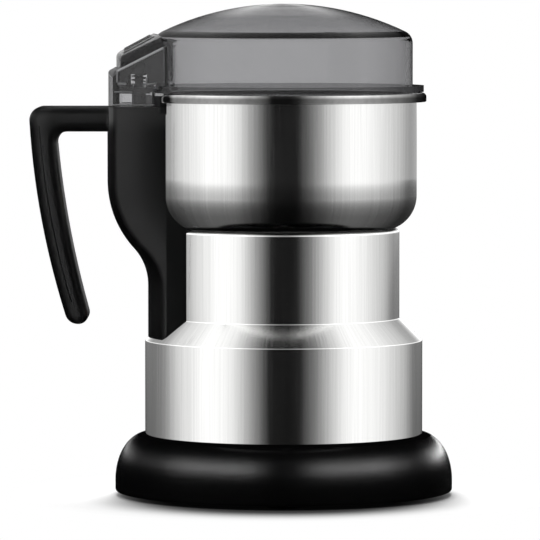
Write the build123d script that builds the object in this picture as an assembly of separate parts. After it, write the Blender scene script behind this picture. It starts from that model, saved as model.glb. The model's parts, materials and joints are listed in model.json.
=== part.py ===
from build123d import *
import math
import os

# Electric spice grinder: a round plastic base, a stepped steel body, a steel grinding cup with a
# smoked lift-off lid, a hooked handle on one side, and a sprung button in the lid that reaches a
# switch in the handle's column. Millimetres. The origin is on the vertical axis, at the surface
# that the feet stand on. The handle points to -X, the front is -Y and the cord inlet is at +Y.

# ---- Clearances ------------------------------------------------------------------------------
running_gap = 0.05  # shaft or pin in its bore, on the radius
seat_gap = 0.02  # a part pushed on or into another of the same body, on the radius
cover_gap = 0.15  # a moulding that lies against the steel body
lift_gap = 0.3  # a moving face above or beside its seat
screw_gap = 0.1  # a screw's shank in the hole it passes through

# ---- Base housing and what closes it -----------------------------------------------------------
base_overhang = 10.8  # of the base beyond the drum
base_wall = 2.5
base_straight = 4.0  # height of the upright band below the curved shoulder
base_shoulder_height = 16.7
base_edge_round = 1.0
base_deck_gap = 1.0  # from the brush holders to the deck's opening
spigot_height = 5.0
spigot_wall = 2.0
plate_thickness = 2.4
plate_boss_radius = 3.8
plate_screw_radius = 1.5
plate_screw_length = 11.0
plate_screw_head_radius = 2.8
plate_screw_head_height = 1.4
vent_count = 16
vent_inner_radius = 17.0
vent_outer_radius = 33.0
vent_width = 2.4
foot_radius = 6.5
foot_protrusion = 1.5
foot_recess = 0.8
foot_inset = 13.8  # of the feet and the bosses between them from the base's side
foot_round = 0.6
foot_count = 4
gland_radius = 4.6
gland_flange_radius = 6.2
gland_flange_thickness = 2.0
gland_bore_radius = 3.3
gland_end_inset = 0.6  # of the gland's outer end from the base's side
gland_depth = 6.2  # from the flange's seat to the outer end
gland_rise = 7.4  # above the bottom plate

# ---- Steel body --------------------------------------------------------------------------------
steel_wall = 0.6
drum_radius = 50.0
drum_height = 33.8
shoulder_height = 8.0
neck_height = 31.5
neck_round = 1.6
deck_hole_radius = 9.0

# ---- Grinding cup, its rim and its clamp -------------------------------------------------------
cup_radius = 47.9
cup_wall = 0.8
cup_height = 49.6
cup_round = 12.6
rim_width = 3.5
rim_height = 3.3
rim_round = 1.3
bush_radius = 6.0
bush_flange_radius = 8.5
bush_flange_thickness = 1.5
bush_length = 10.2
bush_nut_across = 17.0
bush_nut_thickness = 3.0
gasket_thickness = 0.8

# ---- Motor carrier under the steel deck --------------------------------------------------------
carrier_thickness = 4.0
carrier_skirt_depth = 5.0
carrier_skirt_wall = 1.6
tie_radius = 2.0
tie_head_radius = 3.6
tie_head_height = 2.2
tie_inset = 5.4  # of the long screws from the neck's side
tie_boss_radius = 3.6
tie_boss_length = 14.0
tie_engagement = 10.0
bracket_post_radius = 3.6
bracket_post_x = 17.0
bracket_post_y = 20.0
bracket_screw_radius = 1.5
bracket_screw_length = 8.0
bracket_screw_head_radius = 2.8
bracket_screw_head_height = 1.8

# ---- Motor -------------------------------------------------------------------------------------
shaft_radius = 3.0
shaft_below_bearing = 1.5
stack_height = 24.0
core_clearance = 10.7  # from the core's side to the neck's
core_round = 6.0
core_yoke_x = 5.5
core_yoke_y = 8.0
stator_bore_radius = 17.0
air_gap = 0.6
pole_half_width = 9.2
shoe_half_width = 13.0
shoe_thickness = 2.0
coil_overhang = 6.0
coil_gap = 0.3
coil_depth = 8.5
coil_length = 5.9  # along the pole's neck
coil_room = 1.0  # from the coils to the core's inner corners
rotor_slot_count = 12
rotor_slot_width = 2.2
rotor_slot_depth = 5.0
end_winding_height = 6.0
end_winding_radius = 14.6
commutator_radius = 9.5
commutator_gap = 1.0
commutator_bar_count = 12
bearing_radius = 6.0
bearing_length = 7.0
bracket_thickness = 2.5
bracket_half_width = 8.0
bracket_hub_radius = 8.4
bracket_gap = 2.6  # from the bush's lower end to the upper bracket's plate
bolt_radius = 2.0
bolt_head_radius = 3.4
bolt_head_height = 2.4
bolt_inset = 5.0  # of the motor bolts from the core's side
fan_radius = 22.0
fan_height = 6.0
fan_disc = 1.2
fan_hub_radius = 6.0
fan_blade_count = 9
fan_gap = 1.2
lower_bearing_gap = 8.0  # from the bottom plate to the lower bearing
brush_half_width = 3.0
brush_length = 10.0
holder_wall = 0.8
holder_proud = 3.5  # of the brush holders beyond the core
brush_wire = 0.35
terminal_size = (10.0, 24.0, 9.0)
capacitor_size = (8.0, 18.0, 11.0)
vent_margin = 3.0  # from the air slots to what stands beside them

# ---- Blades ------------------------------------------------------------------------------------
collar_radius = 5.6
collar_height = 4.0
blade_thickness = 1.2
blade_clearance = 9.1  # from the blades' tips to the cup's wall
blade_root_width = 15.0
blade_tip_width = 8.0
blade_tip_length = 9.0
blade_tip_rise = 28.0  # degrees
washer_radius = 6.5
washer_thickness = 0.8
blade_nut_across = 10.0
blade_nut_height = 4.4
shaft_end_above_nut = 0.8

# ---- Handle: column, arm and grip --------------------------------------------------------------
column_proud = 0.35  # of the column's back beyond the lid's housing
column_foot_radius = 48.9  # to the column's back where it stands on the shoulder
column_wall = 2.5
column_top_drop = 4.9  # from the cup's mouth to the column's top
column_bend_top_drop = 31.6  # from the cup's mouth to where the back starts to curve in
column_bend_rise = 12.0  # from the shoulder's top to where the curve ends
column_bend_share = 0.65
column_back_half_width = 17.6
column_front_half_width = 23.4
column_front_inset = 6.1  # of the column's widest place from the cup's side
column_edge_round = 2.5
lip_wall = 1.9
lip_drop = 0.9  # from the cup's mouth to the top of the lip
lip_half_width = 23.9
arm_thickness = 9.0
arm_half_depth = 10.5
grip_corner = 28.05  # from the column's back
grip_outer_round = 4.9
grip_inner_round = 3.8
grip_edge_round = 3.2
grip_mid_outer = (24.3, 41.0)  # distance from the column's back, drop from the cup's mouth
grip_low_outer = (14.05, 82.8)
grip_mid_inner = (13.15, 51.8)
grip_low_inner = (5.45, 83.4)
grip_top_inner = 18.35
grip_tip_outer_round = 4.6
grip_tip_inner_round = 3.6
post_radius = 3.4
column_screw_radius = 1.5
column_screw_head_radius = 2.8
column_screw_head_height = 1.7
column_screw_drops = (58.0, 73.0)  # from the cup's mouth
column_screw_bite = 4.2

# ---- Switch in the column ----------------------------------------------------------------------
rod_reach = 4.3  # from the cup's side to the push rod
switch_thickness = 6.4
switch_length = 19.8
switch_height = 10.2
switch_hole_radius = 1.15
switch_hole_spacing = 9.5
switch_hole_rise = 2.6
switch_screw_radius = 0.95
switch_screw_head_radius = 1.8
switch_screw_head_height = 0.8
switch_post_radius = 2.2
terminal_blade = (0.6, 3.0, 6.0)
terminal_spacing = 7.3
lever_arm = 8.2
lever_length = 13.0
lever_width = 4.0
lever_thickness = 0.5
lever_tilt = 19.1  # degrees
lever_hub_radius = 0.9
lever_pin_radius = 0.5
lever_lift = 1.2  # pivot above the switch's top face
pin_radius = 0.9
pin_arm = 3.2
pin_depth = 3.6
pin_share = 0.3  # of the button's travel
plunger_radius = 1.6
plunger_collar_radius = 3.0
plunger_collar_height = 2.0
plunger_above_guide = 1.2
plunger_below_ceiling = 7.8
guide_radius = 2.6
guide_height = 4.6
button_travel = 3.0

# ---- Lid ---------------------------------------------------------------------------------------
lid_gap = 0.7  # between the lid's wall and the cup's
lid_wall = 2.5
lid_dome_radius = 101.0
lid_dome_height = 31.9  # above the cup's mouth
lid_corner_round = 4.6
lid_inner_round = 0.8  # in the corner between dome and wall, which looks dark from the side
lid_skirt_depth = 5.6
flange_inset = 1.0  # of the lid's flange from the rim's side
flange_thickness = 2.3
gate_ring_radius = 13.5
gate_ring_width = 0.5
gate_ring_depth = 0.3
housing_behind_rod = 10.9  # from the push rod to the housing's back
housing_back_half_width = 17.0
housing_front_half_width = 20.6
housing_front_inset = 5.9  # of the housing's widest place from the cup's side
housing_overlap = 12.0  # of the housing's form into the lid's wall
housing_side_wall = 1.5
housing_back_wall = 2.5
housing_drop = 4.6  # from the cup's mouth to the housing's lower edge
housing_slope = 28.15  # degrees
housing_back_height = 6.5  # above the cup's mouth, where the slope's sides meet the back wall
housing_crown = 1.3  # of the slope's middle above its sides
housing_corner_round = 2.2
housing_edge_round = 1.2  # along the slope's outer edge
housing_clear = 0.3  # inner end of the housing beside the column's lip

# ---- Button in the lid -------------------------------------------------------------------------
button_gap = 0.4
button_proud = 4.2  # of the button's sides above the housing's
button_crown = 1.9
button_wall = 1.5
button_top_thickness = 2.2
button_inner_gap = 0.6
button_back_round = 2.4  # where the crowned face meets the button's back
button_corner_round = 1.2  # between the button's back and its sides
button_step_rise = 3.9  # above the cup's mouth, where the skirt passes over the cup
stem_radius = 1.5
spring_seat_radius = 3.4
spring_seat_depth = 1.8
bar_half_width = 3.2
bar_thickness = 1.6
bar_rise = 1.9  # above the cup's mouth
button_spring_radius = 2.45
button_spring_wire = 0.28
button_spring_turns = 6

# ---- Distances from the vertical axis ----------------------------------------------------------
shoe_reach = stator_bore_radius + shoe_thickness
core_half_x = shoe_reach + coil_length + 2 * coil_gap + core_yoke_x
core_half_y = pole_half_width + coil_gap + coil_depth + coil_room + core_yoke_y
neck_radius = core_half_x + core_clearance
base_radius = drum_radius + base_overhang
foot_pitch_radius = base_radius - foot_inset
gland_outer_reach = base_radius - gland_end_inset
gland_inner_reach = gland_outer_reach - gland_depth
tie_pitch_radius = neck_radius - tie_inset
bolt_pitch_half = core_half_y - bolt_inset
holder_end = core_half_y + holder_proud
base_deck_inner_radius = holder_end + base_deck_gap
cup_clear_radius = cup_radius + cover_gap
rim_radius = cup_radius + rim_width
rim_notch_half_width = lip_half_width + cover_gap + rim_width / 2
blade_radius = cup_radius - cup_wall - blade_clearance
blade_flat_radius = blade_radius - blade_tip_length
lid_radius = cup_radius - cup_wall - lid_gap
flange_radius = rim_radius - flange_inset
switch_x = cup_radius + rod_reach
housing_back_radius = switch_x + housing_behind_rod
housing_front_x = cup_radius - housing_front_inset
column_back_radius = housing_back_radius + column_proud
column_front_x = cup_radius - column_front_inset

# ---- Levels on the vertical axis ---------------------------------------------------------------
base_bottom = foot_protrusion
base_shoulder = base_bottom + base_straight
base_top = base_shoulder + base_shoulder_height
drum_bottom = base_top
drum_top = drum_bottom + drum_height
neck_bottom = drum_top + shoulder_height
deck_top = neck_bottom + neck_height
deck_under = deck_top - steel_wall
cup_mouth = deck_top + cup_height
cup_floor = deck_top + cup_wall
plate_top = base_bottom + plate_thickness
gland_height = plate_top + gland_rise
carrier_bottom = deck_under - carrier_thickness
flange_under = cup_floor + gasket_thickness
flange_top = flange_under + bush_flange_thickness
bush_bottom = flange_under - bush_length
nut_bottom = carrier_bottom - bush_nut_thickness
upper_bracket_top = bush_bottom - bracket_gap
upper_bracket_bottom = upper_bracket_top - bracket_thickness
upper_bearing_bottom = upper_bracket_bottom - (bearing_length - bracket_thickness) / 2
fan_top = upper_bearing_bottom - fan_gap
fan_bottom = fan_top - fan_height
core_top = fan_bottom - fan_gap - end_winding_height
core_bottom = core_top - stack_height
lower_bearing_bottom = plate_top + lower_bearing_gap
lower_bracket_bottom = lower_bearing_bottom + (bearing_length - bracket_thickness) / 2
lower_bracket_top = lower_bracket_bottom + bracket_thickness
commutator_top = core_bottom - end_winding_height - commutator_gap
commutator_bottom = lower_bearing_bottom + bearing_length + 3.4
commutator_height = commutator_top - commutator_bottom
brush_level = (commutator_top + commutator_bottom) / 2
brush_half_height = 0.3 * commutator_height
shaft_bottom = lower_bearing_bottom - shaft_below_bearing
collar_bottom = flange_top + lift_gap
lower_blade_bottom = collar_bottom + collar_height
upper_blade_bottom = lower_blade_bottom + blade_thickness
blades_top = upper_blade_bottom + blade_thickness
blade_nut_bottom = blades_top + washer_thickness
shaft_top = blade_nut_bottom + blade_nut_height + shaft_end_above_nut
column_top = cup_mouth - column_top_drop
column_ceiling = column_top - column_wall
lid_seat = cup_mouth + lift_gap
guide_top = column_top + guide_height
plunger_top = guide_top + plunger_above_guide
plunger_tip = column_ceiling - plunger_below_ceiling
lever_slope = math.radians(lever_tilt)
lever_reach = plunger_radius + lift_gap + lever_hub_radius + lever_arm * math.sin(lever_slope)
pivot_level = plunger_tip + plunger_radius - lever_reach / math.cos(lever_slope)
switch_top = pivot_level - lever_lift
switch_bottom = switch_top - switch_height
slope_rise = math.tan(math.radians(housing_slope))
housing_slope_level = cup_mouth + housing_back_height
bar_bottom = cup_mouth + bar_rise
bar_top = bar_bottom + bar_thickness
button_bottom = cup_mouth - lift_gap / 2


# ---- Small shared shapes -----------------------------------------------------------------------
def disc(radius, low, high, x=0.0, y=0.0):
    """Upright cylinder between two levels."""
    body = Cylinder(radius, high - low, align=(Align.CENTER, Align.CENTER, Align.MIN))
    return Pos(x, y, low) * body


def ring(outer, inner, low, high, x=0.0, y=0.0):
    """Upright tube between two levels."""
    return disc(outer, low, high, x, y) - disc(inner, low - 1, high + 1, x, y)


def block(low_x, high_x, low_y, high_y, low, high):
    """Box between the given faces."""
    body = Box(high_x - low_x, high_y - low_y, high - low, align=Align.MIN)
    return Pos(low_x, low_y, low) * body


def rod_x(radius, low_x, high_x, y, level):
    """Cylinder along X."""
    body = Cylinder(radius, high_x - low_x, align=(Align.CENTER, Align.CENTER, Align.MIN))
    return Pos(low_x, y, level) * Rot(0, 90, 0) * body


def rod_y(radius, low_y, high_y, x, level):
    """Cylinder along Y."""
    body = Cylinder(radius, high_y - low_y, align=(Align.CENTER, Align.CENTER, Align.MIN))
    return Pos(x, low_y, level) * Rot(-90, 0, 0) * body


def hexagon(across, low, high):
    """Upright hexagonal bar with the given width across its flats."""
    face = RegularPolygon(across / 2, 6, major_radius=False)
    return Pos(0, 0, low) * extrude(face, high - low)


def outline(corners):
    """Closed outline through (u, v, round) corners, as a face in the local plane."""
    points = [(u, v) for u, v, _ in corners]
    rounds = [r for _, _, r in corners]
    return make_face(FilletPolyline(*points, radius=rounds, close=True))


def spun(face):
    """Solid of revolution about Z of a face drawn as (radius, height)."""
    return revolve(Plane.XZ * face, Axis.Z, 360)


def around(count, start=0.0):
    """Turns about Z that share a full circle."""
    return [Rot(0, 0, start + 360 * index / count) for index in range(count)]


def joined(shapes):
    """All of the shapes in one, whether they touch or not."""
    whole = shapes[0]
    for shape in shapes[1:]:
        whole = whole + shape
    return whole


def coil(radius, wire, low, high, turns):
    """Open coil spring about Z, with its wire's outside between two levels."""
    height = high - low - 2 * wire
    path = Helix(pitch=height / turns, height=height, radius=radius, center=(0, 0, low + wire))
    section = Plane(path @ 0, z_dir=path % 0) * Circle(wire)
    return sweep(section, path=path, is_frenet=True)


def pan_screw(radius, length, head_radius, head_height):
    """Pan-head screw along Z: shank from 0 up to length, head below 0."""
    head = disc(head_radius, -head_height, 0)
    head = fillet(head.edges().group_by(Axis.Z)[0], head_height * 0.45)
    slot = block(-head_radius, head_radius, -0.35, 0.35, -head_height - 1, -head_height * 0.55)
    return head - slot + disc(radius, 0, length)


# ---- Base --------------------------------------------------------------------------------------
def base_section(inset):
    """Half section of the base's outer form, moved inward by a wall."""
    radius = base_radius - inset
    inner = drum_radius
    height = base_shoulder_height - inset
    curve = EllipticalCenterArc((inner, base_shoulder), radius - inner, height, 0, arc_size=90)
    bottom = base_bottom - (1 if inset else 0)
    edges = [
        Line((0, bottom), (radius, bottom)),
        Line((radius, bottom), (radius, base_shoulder)),
        curve,
        Line((inner, base_shoulder + height), (0, base_shoulder + height)),
        Line((0, base_shoulder + height), (0, bottom)),
    ]
    return make_face(Curve() + edges)


def boss_places():
    """Turns to the four bosses that take the bottom plate's screws."""
    return around(foot_count, 45)


def tie_places():
    """Turns to the three long screws that draw the base up to the motor carrier."""
    return [Rot(0, 0, angle) for angle in (0, 90, 270)]


def make_base_housing():
    """Round black base: curved shell, deck, spigot for the drum, bosses and the inlet's boss."""
    shell = spun(base_section(0))
    bottom_edge = shell.edges().filter_by(GeomType.CIRCLE).group_by(Axis.Z)[0]
    shell = fillet(bottom_edge, base_edge_round)
    shell -= spun(base_section(base_wall))
    shell -= disc(base_deck_inner_radius, base_bottom, base_top + 1)
    spigot_radius = drum_radius - steel_wall - cover_gap
    shell += ring(spigot_radius, spigot_radius - spigot_wall, base_top, base_top + spigot_height)
    under = base_top - base_wall
    for turn in boss_places():
        shell += turn * disc(plate_boss_radius, plate_top, under, foot_pitch_radius)
    seat = rod_y(gland_flange_radius + 0.8, gland_inner_reach, base_radius, 0, gland_height)
    shell += seat & spun(base_section(base_wall / 2))
    for turn in boss_places():
        hole = disc(
            plate_screw_radius + running_gap,
            plate_top - 1,
            plate_top + plate_screw_length,
            foot_pitch_radius,
        )
        shell -= turn * hole
    for turn in tie_places():
        shell -= turn * disc(tie_radius + screw_gap, under - 1, base_top + 1, tie_pitch_radius)
    hole_radius = gland_radius + seat_gap
    return shell - rod_y(hole_radius, gland_inner_reach - 1, base_radius + 5, 0, gland_height)


def make_bottom_plate():
    """Disc that closes the base, with air slots, foot recesses and sunk screw holes."""
    plate = disc(base_radius - base_wall - cover_gap, base_bottom, plate_top)
    reach = (vent_inner_radius + vent_outer_radius) / 2
    slot = SlotOverall(vent_outer_radius - vent_inner_radius, vent_width)
    vent = Pos(reach, 0, base_bottom - 1) * extrude(slot, plate_thickness + 2)
    for turn in around(vent_count, 180 / vent_count):
        plate -= turn * vent
    for turn in around(foot_count):
        recess = disc(foot_radius + seat_gap, 0, base_bottom + foot_recess, foot_pitch_radius)
        plate -= turn * recess
    for turn in boss_places():
        sink = disc(
            plate_screw_head_radius + screw_gap,
            0,
            base_bottom + plate_screw_head_height,
            foot_pitch_radius,
        )
        hole = disc(plate_screw_radius + screw_gap, 0, plate_top + 1, foot_pitch_radius)
        plate -= turn * sink
        plate -= turn * hole
    return plate


def make_rubber_feet():
    """Four round rubber feet, set into the bottom plate."""
    foot = disc(foot_radius, 0, base_bottom + foot_recess)
    foot = fillet(foot.edges().group_by(Axis.Z)[0], foot_round)
    return joined([turn * Pos(foot_pitch_radius, 0, 0) * foot for turn in around(foot_count)])


def make_bottom_screws():
    """Four screws that hold the bottom plate to the base's bosses."""
    length = plate_screw_length - 1
    screw = pan_screw(
        plate_screw_radius, length, plate_screw_head_radius, plate_screw_head_height
    )
    place = Pos(foot_pitch_radius, 0, base_bottom + plate_screw_head_height)
    return joined([turn * place * screw for turn in boss_places()])


def make_cord_gland():
    """Rubber grommet in the back of the base, where a cord would pass."""
    inner_face = gland_inner_reach - gland_flange_thickness
    gland = rod_y(gland_radius, inner_face, gland_outer_reach, 0, gland_height)
    gland += rod_y(gland_flange_radius, inner_face, gland_inner_reach, 0, gland_height)
    return gland - rod_y(gland_bore_radius, inner_face - 1, gland_outer_reach + 1, 0, gland_height)


# ---- Steel body and cup ------------------------------------------------------------------------
def body_section(inset):
    """Half section of the drum, shoulder and neck, moved inward by the steel's thickness."""
    lean = math.atan2(drum_radius - neck_radius, shoulder_height)
    slide = inset * math.tan(lean / 2)
    bottom = drum_bottom - (1 if inset else 0)
    return outline(
        [
            (0, bottom, 0),
            (drum_radius - inset, bottom, 0),
            (drum_radius - inset, drum_top - slide, 0),
            (neck_radius - inset, neck_bottom - slide, 0),
            (neck_radius - inset, deck_top - inset, neck_round - inset),
            (0, deck_top - inset, 0),
        ]
    )


def make_body_shell():
    """Stepped steel body in one spinning, with a deck that carries the cup."""
    shell = spun(body_section(0)) - spun(body_section(steel_wall))
    shell -= disc(deck_hole_radius, deck_under - 1, deck_top + 1)
    for drop in column_screw_drops:
        hole = column_screw_radius + screw_gap
        shell -= rod_x(hole, -neck_radius - 1, -neck_radius + 2, 0, cup_mouth - drop)
    return shell


def cup_form(inset):
    """Solid form of the cup, moved inward by its wall."""
    radius = cup_radius - inset
    top = cup_mouth + (1 if inset else 0)
    corners = [
        (0, deck_top + inset, 0),
        (radius, deck_top + inset, cup_round - inset),
        (radius, top, 0),
        (0, top, 0),
    ]
    return spun(outline(corners))


def make_grinding_cup():
    """Deep-drawn steel cup that stands on the body's deck."""
    cup = cup_form(0) - cup_form(cup_wall)
    return cup - disc(bush_radius + screw_gap, deck_top - 1, cup_floor + 1)


def make_rim_ring():
    """Polished ring around the cup's mouth, open where the column's lip stands."""
    inner = cup_radius + seat_gap
    low = cup_mouth - rim_height
    corners = [
        (inner, low, 0),
        (rim_radius, low, 0.5),
        (rim_radius, cup_mouth, rim_round),
        (inner, cup_mouth, 0.4),
    ]
    middle = (inner + rim_radius) / 2
    angle = math.asin(rim_notch_half_width / middle)
    reach = 2 * rim_radius
    notch = Polyline((0, 0), (-reach, -reach * math.tan(angle)), (-reach, reach * math.tan(angle)))
    notch = make_face(notch + Line(notch @ 1, notch @ 0))
    band = spun(outline(corners)) - Pos(0, 0, low - 1) * extrude(notch, rim_height + 2)
    nose = disc((rim_radius - inner) / 2, low, cup_mouth)
    nose = fillet(nose.edges().group_by(Axis.Z)[-1], rim_round)
    x = -middle * math.cos(angle)
    for side in (1, -1):
        band += Pos(x, side * rim_notch_half_width, 0) * nose
    return band


def make_cup_gasket():
    """Rubber washer under the bush's flange."""
    return ring(bush_flange_radius, bush_radius + screw_gap, cup_floor, flange_under)


def make_cup_bush():
    """Flanged bush that clamps the cup and guides the shaft."""
    bush = disc(bush_flange_radius, flange_under, flange_top)
    bush = fillet(bush.edges().group_by(Axis.Z)[-1], bush_flange_thickness * 0.4)
    bush += disc(bush_radius, bush_bottom, flange_under)
    return bush - disc(shaft_radius + running_gap, bush_bottom - 1, flange_top + 1)


def make_cup_nut():
    """Hexagonal nut that draws the bush down against the motor carrier."""
    nut = hexagon(bush_nut_across, nut_bottom, carrier_bottom)
    return nut - disc(bush_radius + seat_gap, nut_bottom - 1, carrier_bottom + 1)


# ---- Motor carrier, brackets and screws --------------------------------------------------------
def bracket_post_places():
    """Centres of the four posts that hold the upper bracket."""
    signs = ((1, 1), (1, -1), (-1, 1), (-1, -1))
    return [(sx * bracket_post_x, sy * bracket_post_y) for sx, sy in signs]


def make_motor_carrier():
    """Plastic disc under the deck, with posts for the motor and bosses for the long screws."""
    radius = neck_radius - steel_wall - neck_round
    carrier = disc(radius, carrier_bottom, deck_under)
    skirt_low = carrier_bottom - carrier_skirt_depth
    skirt = ring(radius, radius - carrier_skirt_wall, skirt_low, carrier_bottom)
    ends = column_screw_head_radius + 2
    skirt -= block(-radius - 1, 0, -ends, ends, skirt_low - 1, carrier_bottom)
    carrier += skirt
    for turn in tie_places():
        low = carrier_bottom - tie_boss_length
        carrier += turn * disc(tie_boss_radius, low, carrier_bottom, tie_pitch_radius)
    for x, y in bracket_post_places():
        carrier += disc(bracket_post_radius, upper_bracket_top, carrier_bottom, x, y)
    for turn in tie_places():
        low = carrier_bottom - tie_boss_length
        hole = disc(tie_radius + running_gap, low - 1, low + tie_engagement + 1, tie_pitch_radius)
        carrier -= turn * hole
    for x, y in bracket_post_places():
        top = upper_bracket_bottom + bracket_screw_length + 1
        hole = disc(bracket_screw_radius + running_gap, upper_bracket_top - 1, top, x, y)
        carrier -= hole
    return carrier - disc(bush_radius + screw_gap, carrier_bottom - 1, deck_under + 1)


def make_tie_screws():
    """Three long screws from under the base's deck up into the motor carrier."""
    low = base_top - base_wall
    high = carrier_bottom - tie_boss_length + tie_engagement
    screw = pan_screw(tie_radius, high - low, tie_head_radius, tie_head_height)
    place = Pos(tie_pitch_radius, 0, low)
    return joined([turn * place * screw for turn in tie_places()])


def bracket_arm(low, high, plate_low, plate_high, foot_low):
    """Two upright arms in the YZ plane, with feet that bolt to the core."""
    inner = bolt_pitch_half + bolt_head_radius + 0.6
    outer = inner + bracket_thickness
    foot = bolt_pitch_half - bolt_head_radius
    arms = []
    for side in (1, -1):
        faces = sorted((side * inner, side * outer))
        arms.append(block(-bracket_half_width, bracket_half_width, *faces, low, high))
        faces = sorted((side * foot, side * outer))
        foot_high = foot_low + bracket_thickness
        arms.append(block(-bracket_half_width, bracket_half_width, *faces, foot_low, foot_high))
    arms.append(
        block(-bracket_half_width, bracket_half_width, -outer, outer, plate_low, plate_high)
    )
    return joined(arms)


def drilled_bracket(bracket, foot_low):
    """Bracket with its bolt holes cut through the feet."""
    for side in (1, -1):
        y = side * bolt_pitch_half
        bracket -= disc(bolt_radius + screw_gap, foot_low - 1, foot_low + bracket_thickness + 1, 0, y)
    return bracket


def make_upper_bracket():
    """Pressed bridge over the fan: bearing hub, arms to the core and ears for the carrier."""
    bracket = bracket_arm(
        core_top, upper_bracket_top, upper_bracket_bottom, upper_bracket_top, core_top
    )
    for x, y in bracket_post_places():
        bracket += disc(bracket_post_radius, upper_bracket_bottom, upper_bracket_top, x, y)
        low_x, high_x = sorted((0, x))
        half = bracket_post_radius
        bracket += block(low_x, high_x, y - half, y + half, upper_bracket_bottom, upper_bracket_top)
    top = upper_bearing_bottom + bearing_length
    bracket += disc(bracket_hub_radius, upper_bearing_bottom, top)
    bracket -= disc(bearing_radius + seat_gap, upper_bearing_bottom - 1, top + 1)
    for x, y in bracket_post_places():
        bracket -= disc(bracket_screw_radius + screw_gap, core_top, upper_bracket_top + 1, x, y)
    return drilled_bracket(bracket, core_top)


def make_lower_bracket():
    """Pressed bridge under the commutator: bearing hub, arms to the core and brush windows."""
    foot_low = core_bottom - bracket_thickness
    bracket = bracket_arm(
        lower_bracket_bottom, core_bottom, lower_bracket_bottom, lower_bracket_top, foot_low
    )
    top = lower_bearing_bottom + bearing_length
    bracket += disc(bracket_hub_radius, lower_bearing_bottom, top)
    bracket -= disc(bearing_radius + seat_gap, lower_bearing_bottom - 1, top + 1)
    half = brush_half_width + holder_wall + seat_gap
    rise = brush_half_height + holder_wall + seat_gap
    window = block(-half, half, -holder_end, holder_end, brush_level - rise, brush_level + rise)
    return drilled_bracket(bracket - window, foot_low)


def make_bracket_screws():
    """Four screws that hold the upper bracket to the carrier's posts."""
    screw = pan_screw(
        bracket_screw_radius,
        bracket_screw_length,
        bracket_screw_head_radius,
        bracket_screw_head_height,
    )
    places = bracket_post_places()
    return joined([Pos(x, y, upper_bracket_bottom) * screw for x, y in places])


def make_motor_bolts():
    """Two long bolts with nuts that clamp both brackets to the core."""
    low = core_bottom - bracket_thickness
    high = core_top + bracket_thickness
    bolt = pan_screw(bolt_radius, high - low + 3.4, bolt_head_radius, bolt_head_height)
    nut = hexagon(bolt_head_radius * 1.9, 0, 2.4) - disc(bolt_radius - 0.2, -1, 3.4)
    bolt = Pos(0, 0, low) * bolt + Pos(0, 0, high) * nut
    return joined([Pos(0, side * bolt_pitch_half, 0) * bolt for side in (1, -1)])


def make_bearing(low):
    """Sintered bronze bush with a shoulder chamfer."""
    bearing = disc(bearing_radius, low, low + bearing_length)
    ends = bearing.edges().filter_by(GeomType.CIRCLE)
    bearing = chamfer(ends, 0.5)
    return bearing - disc(shaft_radius + running_gap, low - 1, low + bearing_length + 1)


# ---- Motor -------------------------------------------------------------------------------------
def make_stator_core():
    """Laminated two-pole stator core."""
    outer = RectangleRounded(2 * core_half_x, 2 * core_half_y, core_round)
    window_x = core_half_x - core_yoke_x
    window_y = core_half_y - core_yoke_y
    face = outer - Rectangle(2 * window_x, 2 * window_y)
    poles = Rectangle(2 * window_x, 2 * pole_half_width)
    poles += Rectangle(2 * shoe_reach, 2 * shoe_half_width)
    face += poles - Circle(stator_bore_radius)
    for side in (1, -1):
        face -= Pos(0, side * bolt_pitch_half) * Circle(bolt_radius + screw_gap)
    return Pos(0, 0, core_bottom) * extrude(face, stack_height)


def make_field_coils():
    """Two field coils, one around each pole's neck."""
    window_x = core_half_x - core_yoke_x
    inner_half = pole_half_width + coil_gap
    outer_half = inner_half + coil_depth
    middle = (core_top + core_bottom) / 2
    inner_rise = stack_height / 2 + coil_gap
    outer_rise = inner_rise + coil_overhang - coil_gap
    low = shoe_reach + coil_gap
    high = window_x - coil_gap
    frame = RectangleRounded(2 * outer_half, 2 * outer_rise, 4)
    frame -= RectangleRounded(2 * inner_half, 2 * inner_rise, 1)
    right = Pos(low, 0, middle) * extrude(Plane.YZ * frame, high - low)
    return joined([right, mirror(right, Plane.YZ)])


def make_motor_shaft():
    """Steel shaft from below the lower bearing to above the blade nut."""
    shaft = disc(shaft_radius, shaft_bottom, shaft_top)
    return chamfer(shaft.edges().filter_by(GeomType.CIRCLE), 0.5)


def make_armature_core():
    """Slotted laminated rotor core."""
    radius = stator_bore_radius - air_gap
    face = Circle(radius) - Circle(shaft_radius + seat_gap)
    slot = Pos(radius - rotor_slot_depth / 2, 0) * Rectangle(rotor_slot_depth, rotor_slot_width)
    for turn in around(rotor_slot_count):
        face -= turn * slot
    return Pos(0, 0, core_bottom) * extrude(face, stack_height)


def make_armature_windings():
    """Copper end turns above and below the rotor core."""
    inner = shaft_radius + 1.5
    top = ring(end_winding_radius, inner, core_top, core_top + end_winding_height)
    top = fillet(top.edges().filter_by(GeomType.CIRCLE).group_by(Axis.Z)[-1], 2.0)
    low = ring(end_winding_radius, inner, core_bottom - end_winding_height, core_bottom)
    low = fillet(low.edges().filter_by(GeomType.CIRCLE).group_by(Axis.Z)[0], 2.0)
    return joined([top, low])


def make_commutator():
    """Copper commutator with grooves between its bars."""
    body = ring(commutator_radius, shaft_radius + seat_gap, commutator_bottom, commutator_top)
    reach = commutator_radius
    groove = block(reach - 0.6, reach + 1, -0.25, 0.25, commutator_bottom - 1, commutator_top + 1)
    for turn in around(commutator_bar_count):
        body -= turn * groove
    return body


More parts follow.
